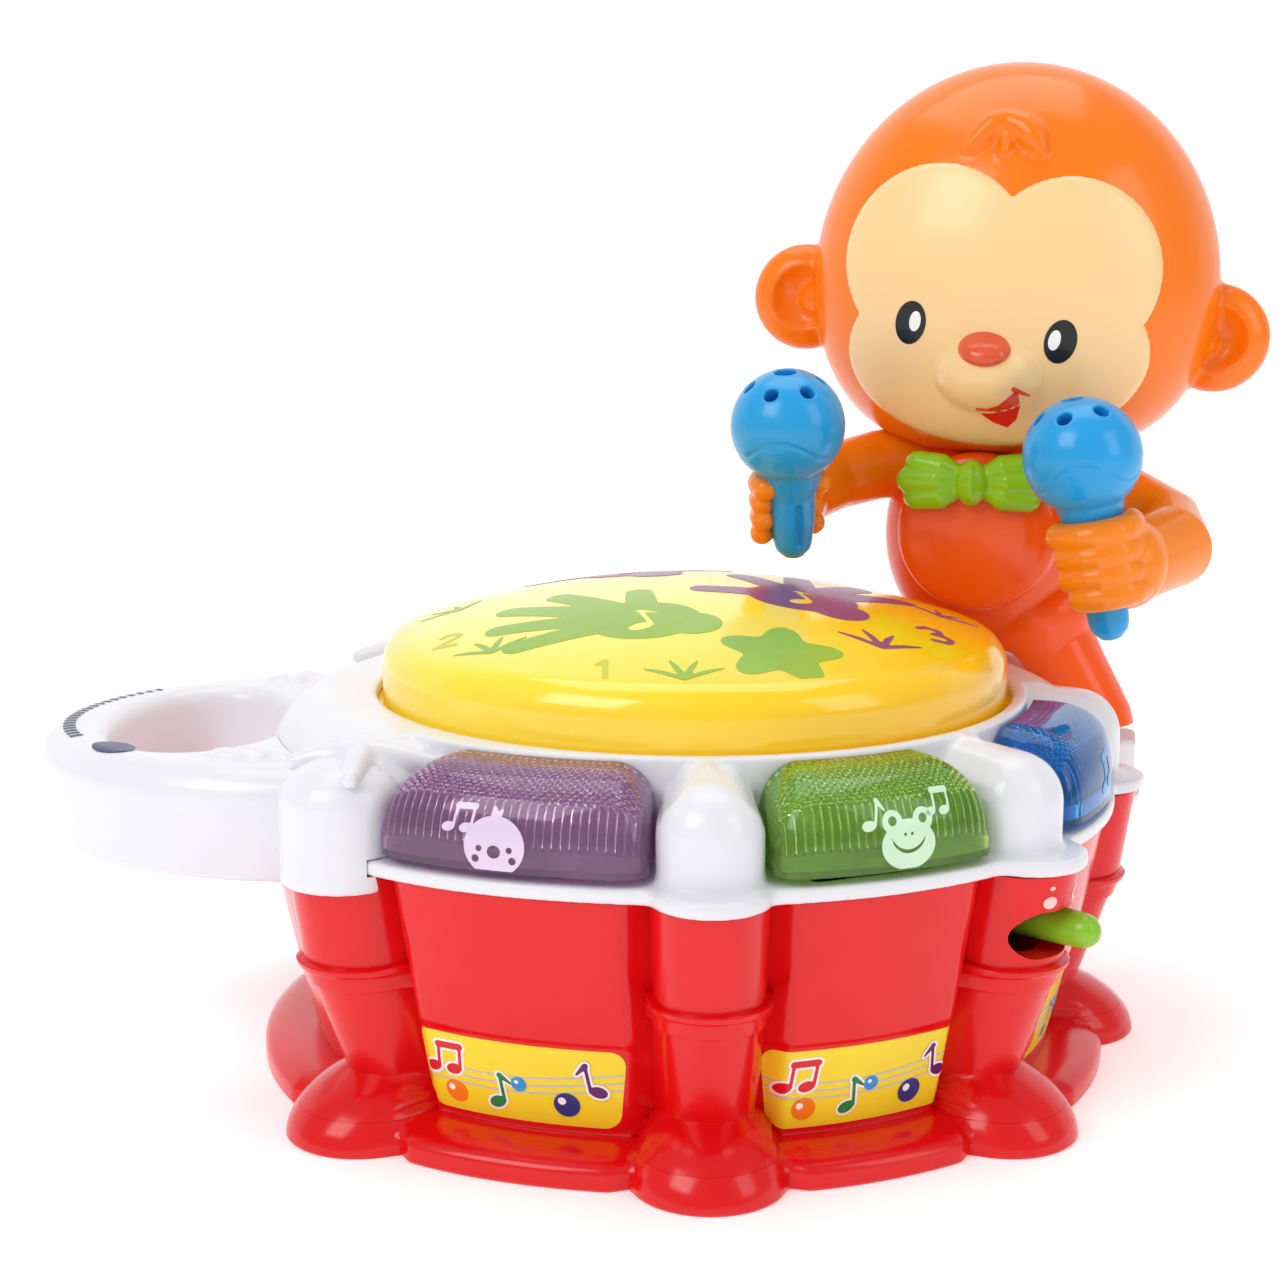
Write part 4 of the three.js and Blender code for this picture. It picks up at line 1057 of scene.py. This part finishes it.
GREEN_HAND = hand((-14, -40), (-2, -44), (-15, -15), (-36, -11), (-49, -18), (-51, -34), (-46, -49))
PURPLE_HAND = hand((28, -16), (37, -26), (2, -12), (13, 12), (29, 16), (46, 12), (57, 3))
BACK_HAND = hand((-16, 30), (-10, 18), (-44, 34), (-36, 52), (-18, 60), (0, 57), (9, 36))
PAD_PRINTS = [
    ("pad_hand_green", GREEN_HAND, "pad_green", (-60, 12), (-68, -6)),
    ("pad_hand_purple", PURPLE_HAND, "pad_purple", (-12, 80), (-48, 36)),
    ("pad_hand_back", BACK_HAND, "pad_purple", (-66, 20), (-8, 78)),
    ("pad_star", moved(star(14.5, 8.5, 1.2), 19, -61, 12), "pad_green", (0, 40), (-82, -42)),
    ("pad_star_back", moved(star(12.5, 7.5, 1.2), 24, 56, 40), "pad_green", (4, 46), (36, 76)),
    ("pad_tuft_1", moved(tuft(), -52, -49, 8), "pad_green", (-66, -38), (-58, -34)),
    ("pad_tuft_2", moved(tuft(), -5, -76, 0), "pad_green", (-20, 12), (-80, -62)),
    ("pad_tuft_3", moved(tuft(), -63, 2, 35), "pad_green", (-78, -48), (-8, 18)),
    ("pad_tuft_4", moved(tuft(), 45, -50, 0, 1.1), "pad_purple", (30, 60), (-58, -34)),
    ("pad_tuft_5", moved(tuft(), 66, -6, -20), "pad_purple", (50, 80), (-16, 12)),
    ("pad_one", moved(ONE, -24, -69), "pad_green_faint", (-32, -16), (-78, -60)),
    ("pad_two", moved(TWO, -64, -32, -10), "pad_green_faint", (-74, -54), (-42, -22)),
    ("pad_three", moved(THREE, 61, -31, 20, 1.2), "pad_purple", (50, 72), (-42, -20)),
]
for name, field, ink, across, along in PAD_PRINTS:
    field = both(field, circle(0, 0, 77.5))
    printed(name, field, (across, along), 0.7 * COARSE, on_pad, INK[ink], "drum_pad", "yellow_translucent")

# ---------------------------------------------------------------- lens buttons


def lens_button(colour, material):
    """A smooth cap whose sealed hollow carries the ribs and beads, with its stem and bosses."""
    centre, half_angle = LENSES[colour]
    rows, columns = int(84 / COARSE), int(240 / COARSE)
    outer = lens_body("outer", centre, half_angle, 0.0, False, 36, 90, LENS_Z[0])
    hollow = lens_body("hollow", centre, half_angle, 2.2, True, rows, columns, LENS_Z[0] + 1.2)
    hollow.data.flip_normals()
    stem = block("stem", (97, 103), (-4, 4), (64.2, LENS_Z[0] + 0.6))
    bosses = []
    for side in (-1, 1):
        x, y, _ = polar(100, side * (half_angle - 4.6), 0)
        bosses.append(rod("boss", 2.6, (82, 93.6), x, y, 24))
    made = gather(f"lens_cap_{colour}", outer, hollow, stem, *bosses)
    return piece(made, material, f"{colour}_button", f"{colour}_lens", f"lens_button_{colour}", sharp=50,
                 place=spin(centre))


for colour, material in (("purple", LENS_PURPLE), ("green", LENS_GREEN), ("blue", LENS_BLUE)):
    lens_button(colour, material)


def on_lens(centre, half_angle):
    """Wraps a figure round a lens: u along the front in mm, v the height above the lens foot."""
    def point(u, v):
        away = u / LENS_MM_PER_DEGREE
        low, high = 0.0, 1.0
        for _ in range(18):
            middle = (low + high) / 2
            _, z = lens_point(centre, half_angle, away, middle)
            low, high = (middle, high) if z < v + LENS_Z[0] else (low, middle)
        r, z = lens_point(centre, half_angle, away, low)
        return polar(r + 0.14, centre + away, z)
    return point_by_point(point)


def chick():
    face = join(oval(0, 0, 7.2, 6.9), bar(0, 6, -0.6, 8.4, 1.3, 0.5), bar(0, 6, 1.2, 8.0, 1.2, 0.4))
    return minus(face, circle(-3.6, -0.6, 0.75), circle(3.6, -0.6, 0.75), oval(0, -1.2, 1.6, 1.5),
                 circle(-4.4, -3.0, 0.9), circle(4.4, -3.0, 0.9))


def frog():
    face = join(oval(0, -1.2, 7.0, 5.8), circle(-4.0, 4.2, 2.6), circle(4.0, 4.2, 2.6))
    smile = minus(circle(0, 1.4, 4.6), circle(0, 2.4, 4.7))
    return minus(face, circle(-4.0, 4.4, 1.1), circle(4.0, 4.4, 1.1), circle(-0.9, 1.2, 0.4),
                 circle(0.9, 1.2, 0.4), smile)


LENS_ICONS = [
    ("icon_chick", "purple", moved(chick(), -1, 6.0), (-12, 10), "lens_purple"),
    ("icon_note_chick", "purple", moved(double_note(0.72), -10.6, 9.4, -6), (-18, -4), "lens_purple"),
    ("icon_frog", "green", moved(frog(), 2.4, 7.2), (-8, 12), "lens_green"),
    ("icon_note_frog_1", "green", moved(note(0.75), -7.6, 11.0, -14), (-12, -2), "lens_green"),
    ("icon_note_frog_2", "green", moved(double_note(0.66), 10.4, 12.4, -8), (6, 18), "lens_green"),
    ("icon_note_blue", "blue", moved(double_note(), -1.5, 5.0), (-8, 8), "sky"),
]
for name, colour, field, across, ink in LENS_ICONS:
    printed(name, field, (across, (0.5, 20)), 0.3 * COARSE, on_lens(*LENSES[colour]), INK[ink],
            f"{colour}_button", f"{colour}_lens", thick=0.1)

# ---------------------------------------------------------------- stickers and marks


def on_panel(centre, lift):
    """Wraps a figure round a panel of the case, u in mm round the wall and v the height z."""
    def point(u, v):
        angle = centre + u / PANEL_MM_PER_DEGREE
        return polar(case_radius(angle, v) + lift, angle, v)
    return point_by_point(point)


def sticker_shape():
    return tile(0, STICKER_Z, STICKER_HALF[0] - 0.6, STICKER_HALF[1] - 0.4, 4, taper=1.2)


def wave(offset):
    """One line of the music staff, as a thin curve across the sticker."""
    def field(u, v):
        return np.abs(v - (STICKER_Z + offset - 1.8 * np.cos((u + 4) * 0.065) + 0.02 * u)) - 0.22
    return both(field, sticker_shape())


def rimmed(name, figure, width, ink):
    """A figure with a white rim printed under it."""
    return (name + "_rim", grown(figure, width), "white"), (name, figure, ink)


STICKER_FIGURES = [
    ("staff", join(wave(3.2), wave(1.2), wave(-0.8)), "grey"),
    *rimmed("red_note", moved(double_note(0.95), -19.5, STICKER_Z + 0.4, -6), 0.6, "red"),
    ("orange_ball", circle(-16.5, STICKER_Z - 5.2, 3.0), "orange"),
    *rimmed("green_note", moved(note(0.95), -5.5, STICKER_Z - 6.0, 4), 0.55, "green"),
    ("sky_ball", circle(0.5, STICKER_Z - 0.4, 1.9), "sky"),
    ("navy_ball", circle(12.0, STICKER_Z - 4.6, 3.2), "navy"),
    *rimmed("violet_note", moved(note(0.95), 20.0, STICKER_Z - 0.5, 8, mirror=-1), 0.55, "violet"),
    ("gleams", join(circle(-17.6, STICKER_Z - 4.3, 0.9), circle(0.0, STICKER_Z + 0.2, 0.55),
                    circle(10.9, STICKER_Z - 3.6, 1.0)), "white"),
]
for colour, (centre, _) in LENSES.items():
    middle = centre - 1.2 if colour == "purple" else centre
    span = ((-30, 30), (STICKER_Z - 13, STICKER_Z + 13))
    printed(f"sticker_{colour}", sticker_shape(), span, 1.0 * COARSE, on_panel(middle, 0.1), INK["yellow"],
            "drum", "red_plastic", thick=0.1)
    for layer, (name, field, ink) in enumerate(STICKER_FIGURES):
        printed(f"sticker_{colour}_{name}", field, span, 0.36 * COARSE, on_panel(middle, 0.17 + 0.02 * layer),
                INK[ink], "drum", "red_plastic", thick=0.05)

# Plain marks above the switch take the place of lettering.
SWITCH_MARKS = join(circle(-4.2, 62.4, 1.5), circle(-4.2, 66.0, 0.55),
                    minus(circle(4.2, 63.2, 1.8), circle(4.2, 63.2, 1.2)))
printed("switch_marks", SWITCH_MARKS, ((-8, 8), (59, 68)), 0.3 * COARSE, on_panel(SWITCH_ANGLE, 0.1),
        INK["mark"], "drum", "red_plastic", thick=0.06)


def on_handle(us, vs, ds):
    """u runs round the handle in degrees about its centre, v is the distance in from the outer edge."""
    turn = np.radians(us)
    x, y = outer_edge(vs, np.cos(turn), np.sin(turn))
    drop = HANDLE_ROUND - np.sqrt(np.maximum(0, HANDLE_ROUND ** 2 - np.maximum(0, HANDLE_ROUND - vs) ** 2))
    return x, y, HANDLE_Z[1] + 0.22 - drop


def label_band():
    """A row of short dashes along the outer edge of the handle."""
    dashes = [tile(angle, 7.6, 0.62, 1.7, 0.3) for angle in np.arange(142, 206, 3.1)]
    return join(*dashes)


printed("handle_band", label_band(), ((138, 212), (4, 12)), 0.35 * COARSE, on_handle, INK["label"], "drum",
        "white_plastic", thick=0.08)
printed("handle_oval", oval(221, 9.2, 6.4, 4.2), ((210, 232), (3, 15)), 0.4 * COARSE, on_handle, INK["label"],
        "drum", "white_plastic", thick=0.08)

# ---------------------------------------------------------------- monkey: socket and stem


def monkey_socket():
    radius, bottom, top = 15.5, -21, -1
    towards = math.atan2(PIVOT.y, PIVOT.x) - radians(MONKEY_TURN)
    cup = turned("cup", [(0, bottom), (radius - 1, bottom), (radius, bottom + 1), (radius, top - 1),
                         (radius - 1, top), (0, top)], 64)
    arm = block("arm", (-32, 0), (1 - radius, radius - 1), (bottom, top))
    arm.data.transform(Matrix.Rotation(towards, 4, "Z"))
    made = melt("pivot_cup", cup, arm, voxel=0.6, smooth=3)
    cut(made, block("slot", (-radius - 3, radius + 3), (-7.5, 7.5), (bottom + 3, top + 1)))
    cut(made, tube("bore", [(0, -30, -PIN_DROP), (0, 30, -PIN_DROP)], 2.65))
    made.data.transform(MONKEY)
    cut(made, drum_tool("tool"))
    return piece(made, WHITE, "drum", "white_plastic", "monkey_socket", sharp=35)


monkey_socket()


def swing_stem():
    shank = tube("shank", [(0, 0, -PIN_DROP), (-2.5, 0.5, 3), (-5, 1, 13)], (6.6, 6.6, 6.4))
    eye = rod("eye", 8, (-7, 7), segments=48)
    eye.data.transform(shift(0, 0, -PIN_DROP) @ spin(90, "X"))
    made = melt("pivot_stem", shank, eye, voxel=0.5, smooth=2)
    bore = tube("bore", [(0, -12, -PIN_DROP), (0, 12, -PIN_DROP)], 2.6)
    return piece(cut(made, bore), DEEP_ORANGE, "monkey", "deep_orange_plastic", "swing_stem", place=MONKEY)


swing_stem()

# ---------------------------------------------------------------- monkey: head


def head_width(z):
    part = (z - HEAD_CENTRE[2]) / np.where(z > HEAD_CENTRE[2], HEAD_UP, HEAD_DOWN)
    return np.maximum(1e-4, 1 - part ** 2) ** np.where(z > HEAD_CENTRE[2], 0.5, JAW)


def head_front(x, z):
    """Local y of the front of the head."""
    width = head_width(z)
    across = (x - HEAD_CENTRE[0]) / (HEAD_WIDTH * width)
    return -HEAD_DEPTH * width * np.sqrt(np.maximum(0, 1 - across ** 2))


def head_parts():
    levels, turns = 64, 96
    rings = []
    for level in range(levels + 1):
        part = -math.cos(math.pi * level / levels)
        z = HEAD_CENTRE[2] + part * (HEAD_DOWN if part < 0 else HEAD_UP)
        width = max(1e-3, 1 - part ** 2) ** (JAW if part < 0 else 0.5)
        rings.append([(HEAD_CENTRE[0] + HEAD_WIDTH * width * math.cos(t), HEAD_DEPTH * width * math.sin(t), z)
                      for t in np.linspace(0, 2 * math.pi, turns, endpoint=False)])
    parts = [skin("skull", rings)]
    for x, y, z in EARS:
        ear = ball("ear", (x, y, z), (15.5, 8, 15.5))
        cut(ear, ball("cup", (x, y - 9, z), (10.2, 6.6, 10.2)))
        parts.append(ear)
        parts.append(ball("lobe", (x + (3 if x < 0 else -3), y - 2.4, z - 1), (4.4, 3.6, 5.4)))
    # A curl of hair on the brow.
    for path, widths in (
        (((-37, 168.5), (-34, 171.5), (-30.5, 174.5), (-27, 175.5)), (1.8, 3.0, 4.0, 3.6)),
        (((-27, 175.5), (-22.5, 173.5), (-19.5, 170.5), (-17.5, 167.2)), (3.6, 4.2, 4.0, 1.8)),
        (((-27, 174.5), (-27, 170), (-27.5, 166.4)), (1.6, 1.6, 1.2)),
    ):
        track = [(x, float(head_front(np.array(x), np.array(z))) - 0.9, z) for x, z in path]
        parts.append(tube("curl", track, widths, 16))
    return parts


def two_shells(whole, names, material, slot, nodes, sharp):
    """Splits a hollow part of the monkey into its front and back mouldings."""
    halves = [half(whole, name, side) for name, side in zip(names, (-1, 1))]
    discard(whole)
    for made, node in zip(halves, nodes):
        piece(made, material, "monkey", slot, node, sharp=sharp, place=MONKEY)


two_shells(melt("head", *head_parts(), voxel=0.85, smooth=4), ("head_face_half", "head_back_half"), ORANGE,
           "orange_plastic", ("head_front_shell", "head_back_shell"), 50)

FACE = join(circle(-45, 138, 26.5), oval(-9, 135, 25, 25.5), oval(-28.5, 112.5, 42, 26.5))
MUZZLE_CENTRE, MUZZLE_RADII = (-30, -37, 108), (15, 12.8, 11.4)


def face_surface(x, z, d, lift=1.4, rim=1.8):
    """Local y of the face, which stands proud of the head, has a rounded rim and swells at the muzzle."""
    edge = np.clip(-d / rim, 0, 1)
    y = head_front(x, z) + 0.5 - (lift + 0.5) * np.sqrt(1 - (1 - edge) ** 2)
    (mid_x, mid_y, mid_z), (wide, deep, high) = MUZZLE_CENTRE, MUZZLE_RADII
    inside = 1 - ((x - mid_x) / wide) ** 2 - ((z - mid_z) / high) ** 2
    muzzle = mid_y - deep * np.sqrt(np.maximum(0, inside)) + 12 * np.maximum(0, -inside)
    soft = 1.8
    blend = np.clip(0.5 + (y - muzzle) / (2 * soft), 0, 1)
    return y * (1 - blend) + muzzle * blend - soft * blend * (1 - blend)


def on_face(lift):
    def place(us, vs, ds):
        depth = FACE(us, vs)
        return us, face_surface(us, vs, depth) - lift, vs
    return place


def face_place(us, vs, ds):
    return us, face_surface(us, vs, ds), vs


face = printed("face_mask", FACE, ((-76, 20), (80, 168)), 0.7 * COARSE, face_place, TAN, "monkey",
               "tan_plastic", thick=1.6, frame_at=MONKEY)
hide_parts("face_plate")


def feature(name, field, span, material, lift=0.15):
    printed(name, field, span, 0.3 * COARSE, on_face(lift), material, "monkey", "tan_plastic", thick=0.3,
            frame_at=MONKEY)


EYES = (("left", (-51.4, 121.0), -10, 1.3), ("right", (-10.4, 116.2), -14, -1.6))
for side, (x, z), lean, aside in EYES:
    around = ((x - 9, x + 9), (z - 9, z + 9))
    feature(f"eye_{side}", oval(x, z, 4.3, 6.0, lean), around, INK["black"])
    feature(f"eye_gleam_{side}", oval(x + aside, z + 0.4, 1.6, 2.8, lean), around, INK["white"], lift=0.24)


def nose_place(us, vs, ds):
    bulge = 2.6 * np.sqrt(np.clip(1 - (1 + ds / 4.5) ** 2, 0, 1))
    return us, face_surface(us, vs, np.full_like(us, -9.0)) - bulge - 0.05, vs


printed("nose_button", oval(-30.6, 114.2, 7.2, 4.6, -4), ((-40, -21), (108, 121)), 0.35 * COARSE, nose_place,
        NOSE, "monkey", "tan_plastic", thick=0.8, frame_at=MONKEY)

# An open smile: a rounded wedge under the muzzle with a crease at its right corner.
MOUTH = grown(polygon((-32.4, 97.4), (-29.5, 97.2), (-26.4, 98.2), (-23.6, 100.4), (-21.6, 102.4),
                      (-21.4, 98.6), (-22.4, 94.8), (-24.6, 92.6), (-28.0, 93.8), (-30.6, 95.6)), 0.5)
feature("mouth", MOUTH, ((-38, -14), (84, 106)), INK["mouth"], lift=0.2)
feature("mouth_crease", bar(-22.2, 103.4, -18.4, 101.4, 0.7, 0.35), ((-25, -14), (96, 106)), NOSE,
        lift=0.12)

# ---------------------------------------------------------------- monkey: body


def body_skin():
    torso = ball("torso", (-33, 2, 58), (29, 24, 35), (64, 40))
    hip = ball("hip", (-18, 3, 33), (18, 17, 20))
    leg = tube("leg", [(-16, 3, 30), (-8, 2, 16), (0.5, 0, 2)], (14.5, 13.4, 12.6), 40)
    belly = turned("belly", [(0, 0), (21.5, 0), (23, 1.2), (22.9, 12.0), (21.8, 13.6), (19.4, 14.6),
                             (14, 15.8), (8, 16.6), (0, 17)], 72)
    belly.data.transform(shift(-33, -9.5, 61) @ spin(90, "X"))
    whole = melt("body", torso, hip, leg, belly, voxel=0.7, smooth=3)
    trim(whole, 86, True)
    trim(whole, 3, False)
    tool = drum_tool("tool", size=1.035)
    tool.data.transform(MONKEY.inverted())
    return cut(whole, tool)


two_shells(body_skin(), ("body_front_half", "body_back_half"), DEEP_ORANGE, "deep_orange_plastic",
           ("body_front_shell", "body_back_shell"), 45)


def bow():
    x, y, z = -34.5, -25, 76
    parts = [ball("knot", (x, y - 3.4, z - 0.2), (4.6, 5.4, 6.6))]
    parts.append(ball("fold", (x, y - 7.4, z), (1.6, 1.8, 5.2), (20, 12)))
    for side in (-1, 1):
        for lift, reach, thick in ((4.6, 15.5, 4.2), (0.0, 17.5, 4.6), (-4.8, 15.8, 4.2)):
            path = [(x + side * 3, y - 1.5, z + lift * 0.3),
                    (x + side * reach * 0.55, y - 2.6, z + lift * 0.8),
                    (x + side * reach, y - 0.4, z + lift)]
            parts.append(tube("fold", path, (2.6, thick, thick * 0.9), 24))
    made = melt("neck_bow", *parts, voxel=0.42, smooth=4)
    piece(made, LEAF, "monkey", "leaf_green_plastic", "bow_tie", sharp=60, place=MONKEY)


bow()

# ---------------------------------------------------------------- monkey: maracas and arms


def maraca(side):
    top, end = (Vector(point) for point in MARACAS[side])
    axis = (end - top).normalized()
    across = axis.cross(Vector((0, 1, 0))).normalized()
    front = across.cross(axis).normalized()
    radius = 15.8

    def around(lat, lon):
        """A direction from the ball's centre: lat is measured down from the top of the ball."""
        flat = across * math.cos(radians(lon)) + front * math.sin(radians(lon))
        return (-axis * math.cos(radians(lat)) + flat * math.sin(radians(lat))).normalized()

    head = ball("ball", top, (radius, radius, radius), (64, 44))
    drills = []
    for lat, lon, width in [(0, 0, 3.0)] + [(40, 60 * i + 15, 2.1) for i in range(6)]:
        way = around(lat, lon)
        drills.append(tube("drill", [top + way * (radius - 5), top + way * (radius + 4)], width, 20))
    track = []
    for lon in range(0, 357, 6):
        way = around(103 - 13 * math.sin(radians(3 * lon)), lon)
        track.append(top + way * (radius + 0.1))
    cut(head, gather("drills", *drills))
    cut(head, tube("seam", track, 0.6, 8))
    neck = tube("neck", [top + axis * 12, top + axis * 17.5, top + axis * 20], (9.6, 8.0, 7.0), 32)
    stick = tube("stick", [top + axis * 15, top + axis * 28, end], (7.3, 6.5, 5.5), 32)
    made = melt(f"maraca_{side}_skin", head, neck, stick, voxel=0.42, smooth=3)
    if side == "left":
        ends = top + axis * 22 + across * 3.2 - front * 6.2, end + across * 2.6 - front * 5.0
        cut(made, tube("groove", ends, 1.3, 12))
    piece(made, SKY, "monkey", "sky_blue_plastic", f"maraca_{side}", sharp=50, place=MONKEY)


def arc(centre, axis, start, radius, turns, lift=0.0):
    """Points round an axis from a start direction, by a list of turns in degrees."""
    side = (start - axis * start.dot(axis)).normalized()
    other = axis.cross(side)
    return [centre + axis * lift + (side * math.cos(radians(t)) + other * math.sin(radians(t))) * radius
            for t in turns]


# The limb's path, the height at which the maraca is gripped, and the palm, fingers and thumb. A finger is
# its curl's radius, its own thickness and the spacing to the next one.
ARMS = {
    "left": {
        "path": [(-52, 1, 79), (-64, -4, 78), (-76, -12, 75), (-84, -24, 71), (-86, -38, 67)],
        "radii": (10.8, 10.2, 9.8, 9.2, 8.6), "grip": 70.3, "palm": ((-86, -37.5, 70), (9.5, 9.5, 10)),
        "start": (0.25, 1, 0), "way": -1, "finger": (8.6, 3.4, 4.9), "thumb": 1,
    },
    "right": {
        "path": [(-10, -2, 74), (4, -8, 70), (19, -22, 63), (21, -34, 60), (12, -50, 58)],
        "radii": (11.2, 11.4, 11.8, 11.6, 10.8), "grip": 59.5, "palm": ((9, -55, 58), (11.5, 11, 12.5)),
        "start": (1, -0.1, 0), "way": 1, "finger": (9.8, 4.0, 5.5), "thumb": -1,
    },
}


def monkey_arm(side):
    arm = ARMS[side]
    top, end = (Vector(point) for point in MARACAS[side])
    axis = (top - end).normalized()
    centre = end + axis * ((arm["grip"] - end.z) / axis.z)
    reach, thick, spacing = arm["finger"]
    parts = [tube("limb", arm["path"], arm["radii"], 32), ball("palm", *arm["palm"])]
    start = Vector(arm["start"])
    for i in range(4):
        turns = [arm["way"] * t * -1 for t in range(-20, 151 - 6 * i, 17)]
        path = arc(centre, axis, start, reach, turns, lift=spacing * (1.45 - i))
        parts.append(tube("finger", path, thick, 18))
    thumb = arc(centre, axis, start, reach - 0.4, [arm["way"] * t for t in (0, 22, 44, 66)], lift=6.5)
    parts.append(tube("thumb", thumb, (4.4, 4.2, 3.8, 3.2), 18))
    made = melt(f"arm_{side}_skin", *parts, voxel=0.55, smooth=3)
    return piece(made, HAND_ORANGE, "monkey", "orange_plastic", f"arm_{side}", sharp=60, place=MONKEY)


for side in MARACAS:
    maraca(side)
    monkey_arm(side)

# ---------------------------------------------------------------- inner parts keep their CAD shapes

INNER = {
    STEEL: ["battery_door_screw", "battery_contact_link", "battery_contact_positive",
            "battery_contact_negative", "pivot_pin"]
           + [f"case_screw_{i}" for i in range(1, 6)] + [f"pad_spring_{i}" for i in range(1, 4)],
    CELL: ["battery_1", "battery_2"],
    BLACK: ["speaker", "slide_switch_body", "pad_switch"],
    WHITE: ["pad_tray"],
    RUBBER: [f"button_dome_{i}" for i in range(1, 4)],
    LED_CLEAR: [f"led_{i}" for i in range(1, 5)],
    BOARD: ["main_board"],
}
for material, names in INNER.items():
    for name in names:
        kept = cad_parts[name]
        kept.data.materials.clear()
        kept.data.materials.append(material)

# ---------------------------------------------------------------- stage, light and camera


def backdrop():
    """A pale floor that curves up into a wall behind the toy."""
    nodes = Nodes("paper")
    nodes.link(nodes.ramp(nodes.noise(2), [(0.3, linear(248, 248, 250)), (0.7, linear(252, 252, 253))]),
               nodes.shader.inputs["Base Color"])
    nodes.set(Roughness=0.9, Specular_IOR_Level=0.1, Emission_Color=(1, 1, 1, 1), Emission_Strength=0.3)
    bend = [(1400 + 700 * math.sin(radians(t)), 700 - 700 * math.cos(radians(t))) for t in range(0, 91, 6)]
    profile = [(-12000, 0), (0, 0)] + bend + [(2100, 3000)]
    made = skin("backdrop", [[(x, y, z) for y, z in profile] for x in (-12000, 12000)], closed=False)
    made.data.shade_smooth()
    made.data.materials.append(nodes.material)
    return made


backdrop()


def lamp(name, place, target, size, power):
    """A rectangular lamp. Its place, target and size are in metres."""
    light = bpy.data.lights.new(name, "AREA")
    light.shape = "RECTANGLE"
    light.size, light.size_y = size
    light.energy = power
    made = add_object(name, light)
    made.location = place
    made.rotation_euler = (Vector(target) - Vector(place)).to_track_quat("-Z", "Y").to_euler()


lamp("key_light", (-0.9, -0.9, 1.1), (0, 0, 0.08), (0.8, 0.8), 8.5)
lamp("fill_light", (1.0, -0.7, 0.7), (0, 0, 0.1), (0.5, 0.9), 2.6)
lamp("top_light", (0.0, 0.25, 1.3), (0, 0, 0.1), (1.1, 0.8), 5.2)
world = bpy.data.worlds.new("studio")
bpy.context.scene.world = world
world.use_nodes = True
world.node_tree.nodes["Background"].inputs["Color"].default_value = (1, 1, 1, 1)
world.node_tree.nodes["Background"].inputs["Strength"].default_value = 0.47

camera = add_object("camera", bpy.data.cameras.new("camera"))
camera.location = (-0.02195, -0.57941, 0.21428)
camera.rotation_euler = (Vector((-0.0146, 0, 0.1097)) - camera.location).to_track_quat("-Z", "Y").to_euler()
camera.data.lens = 61.1
camera.data.sensor_width = 36
bpy.context.scene.camera = camera
bpy.context.scene.view_settings.view_transform = "Standard"

bpy.context.view_layer.update()
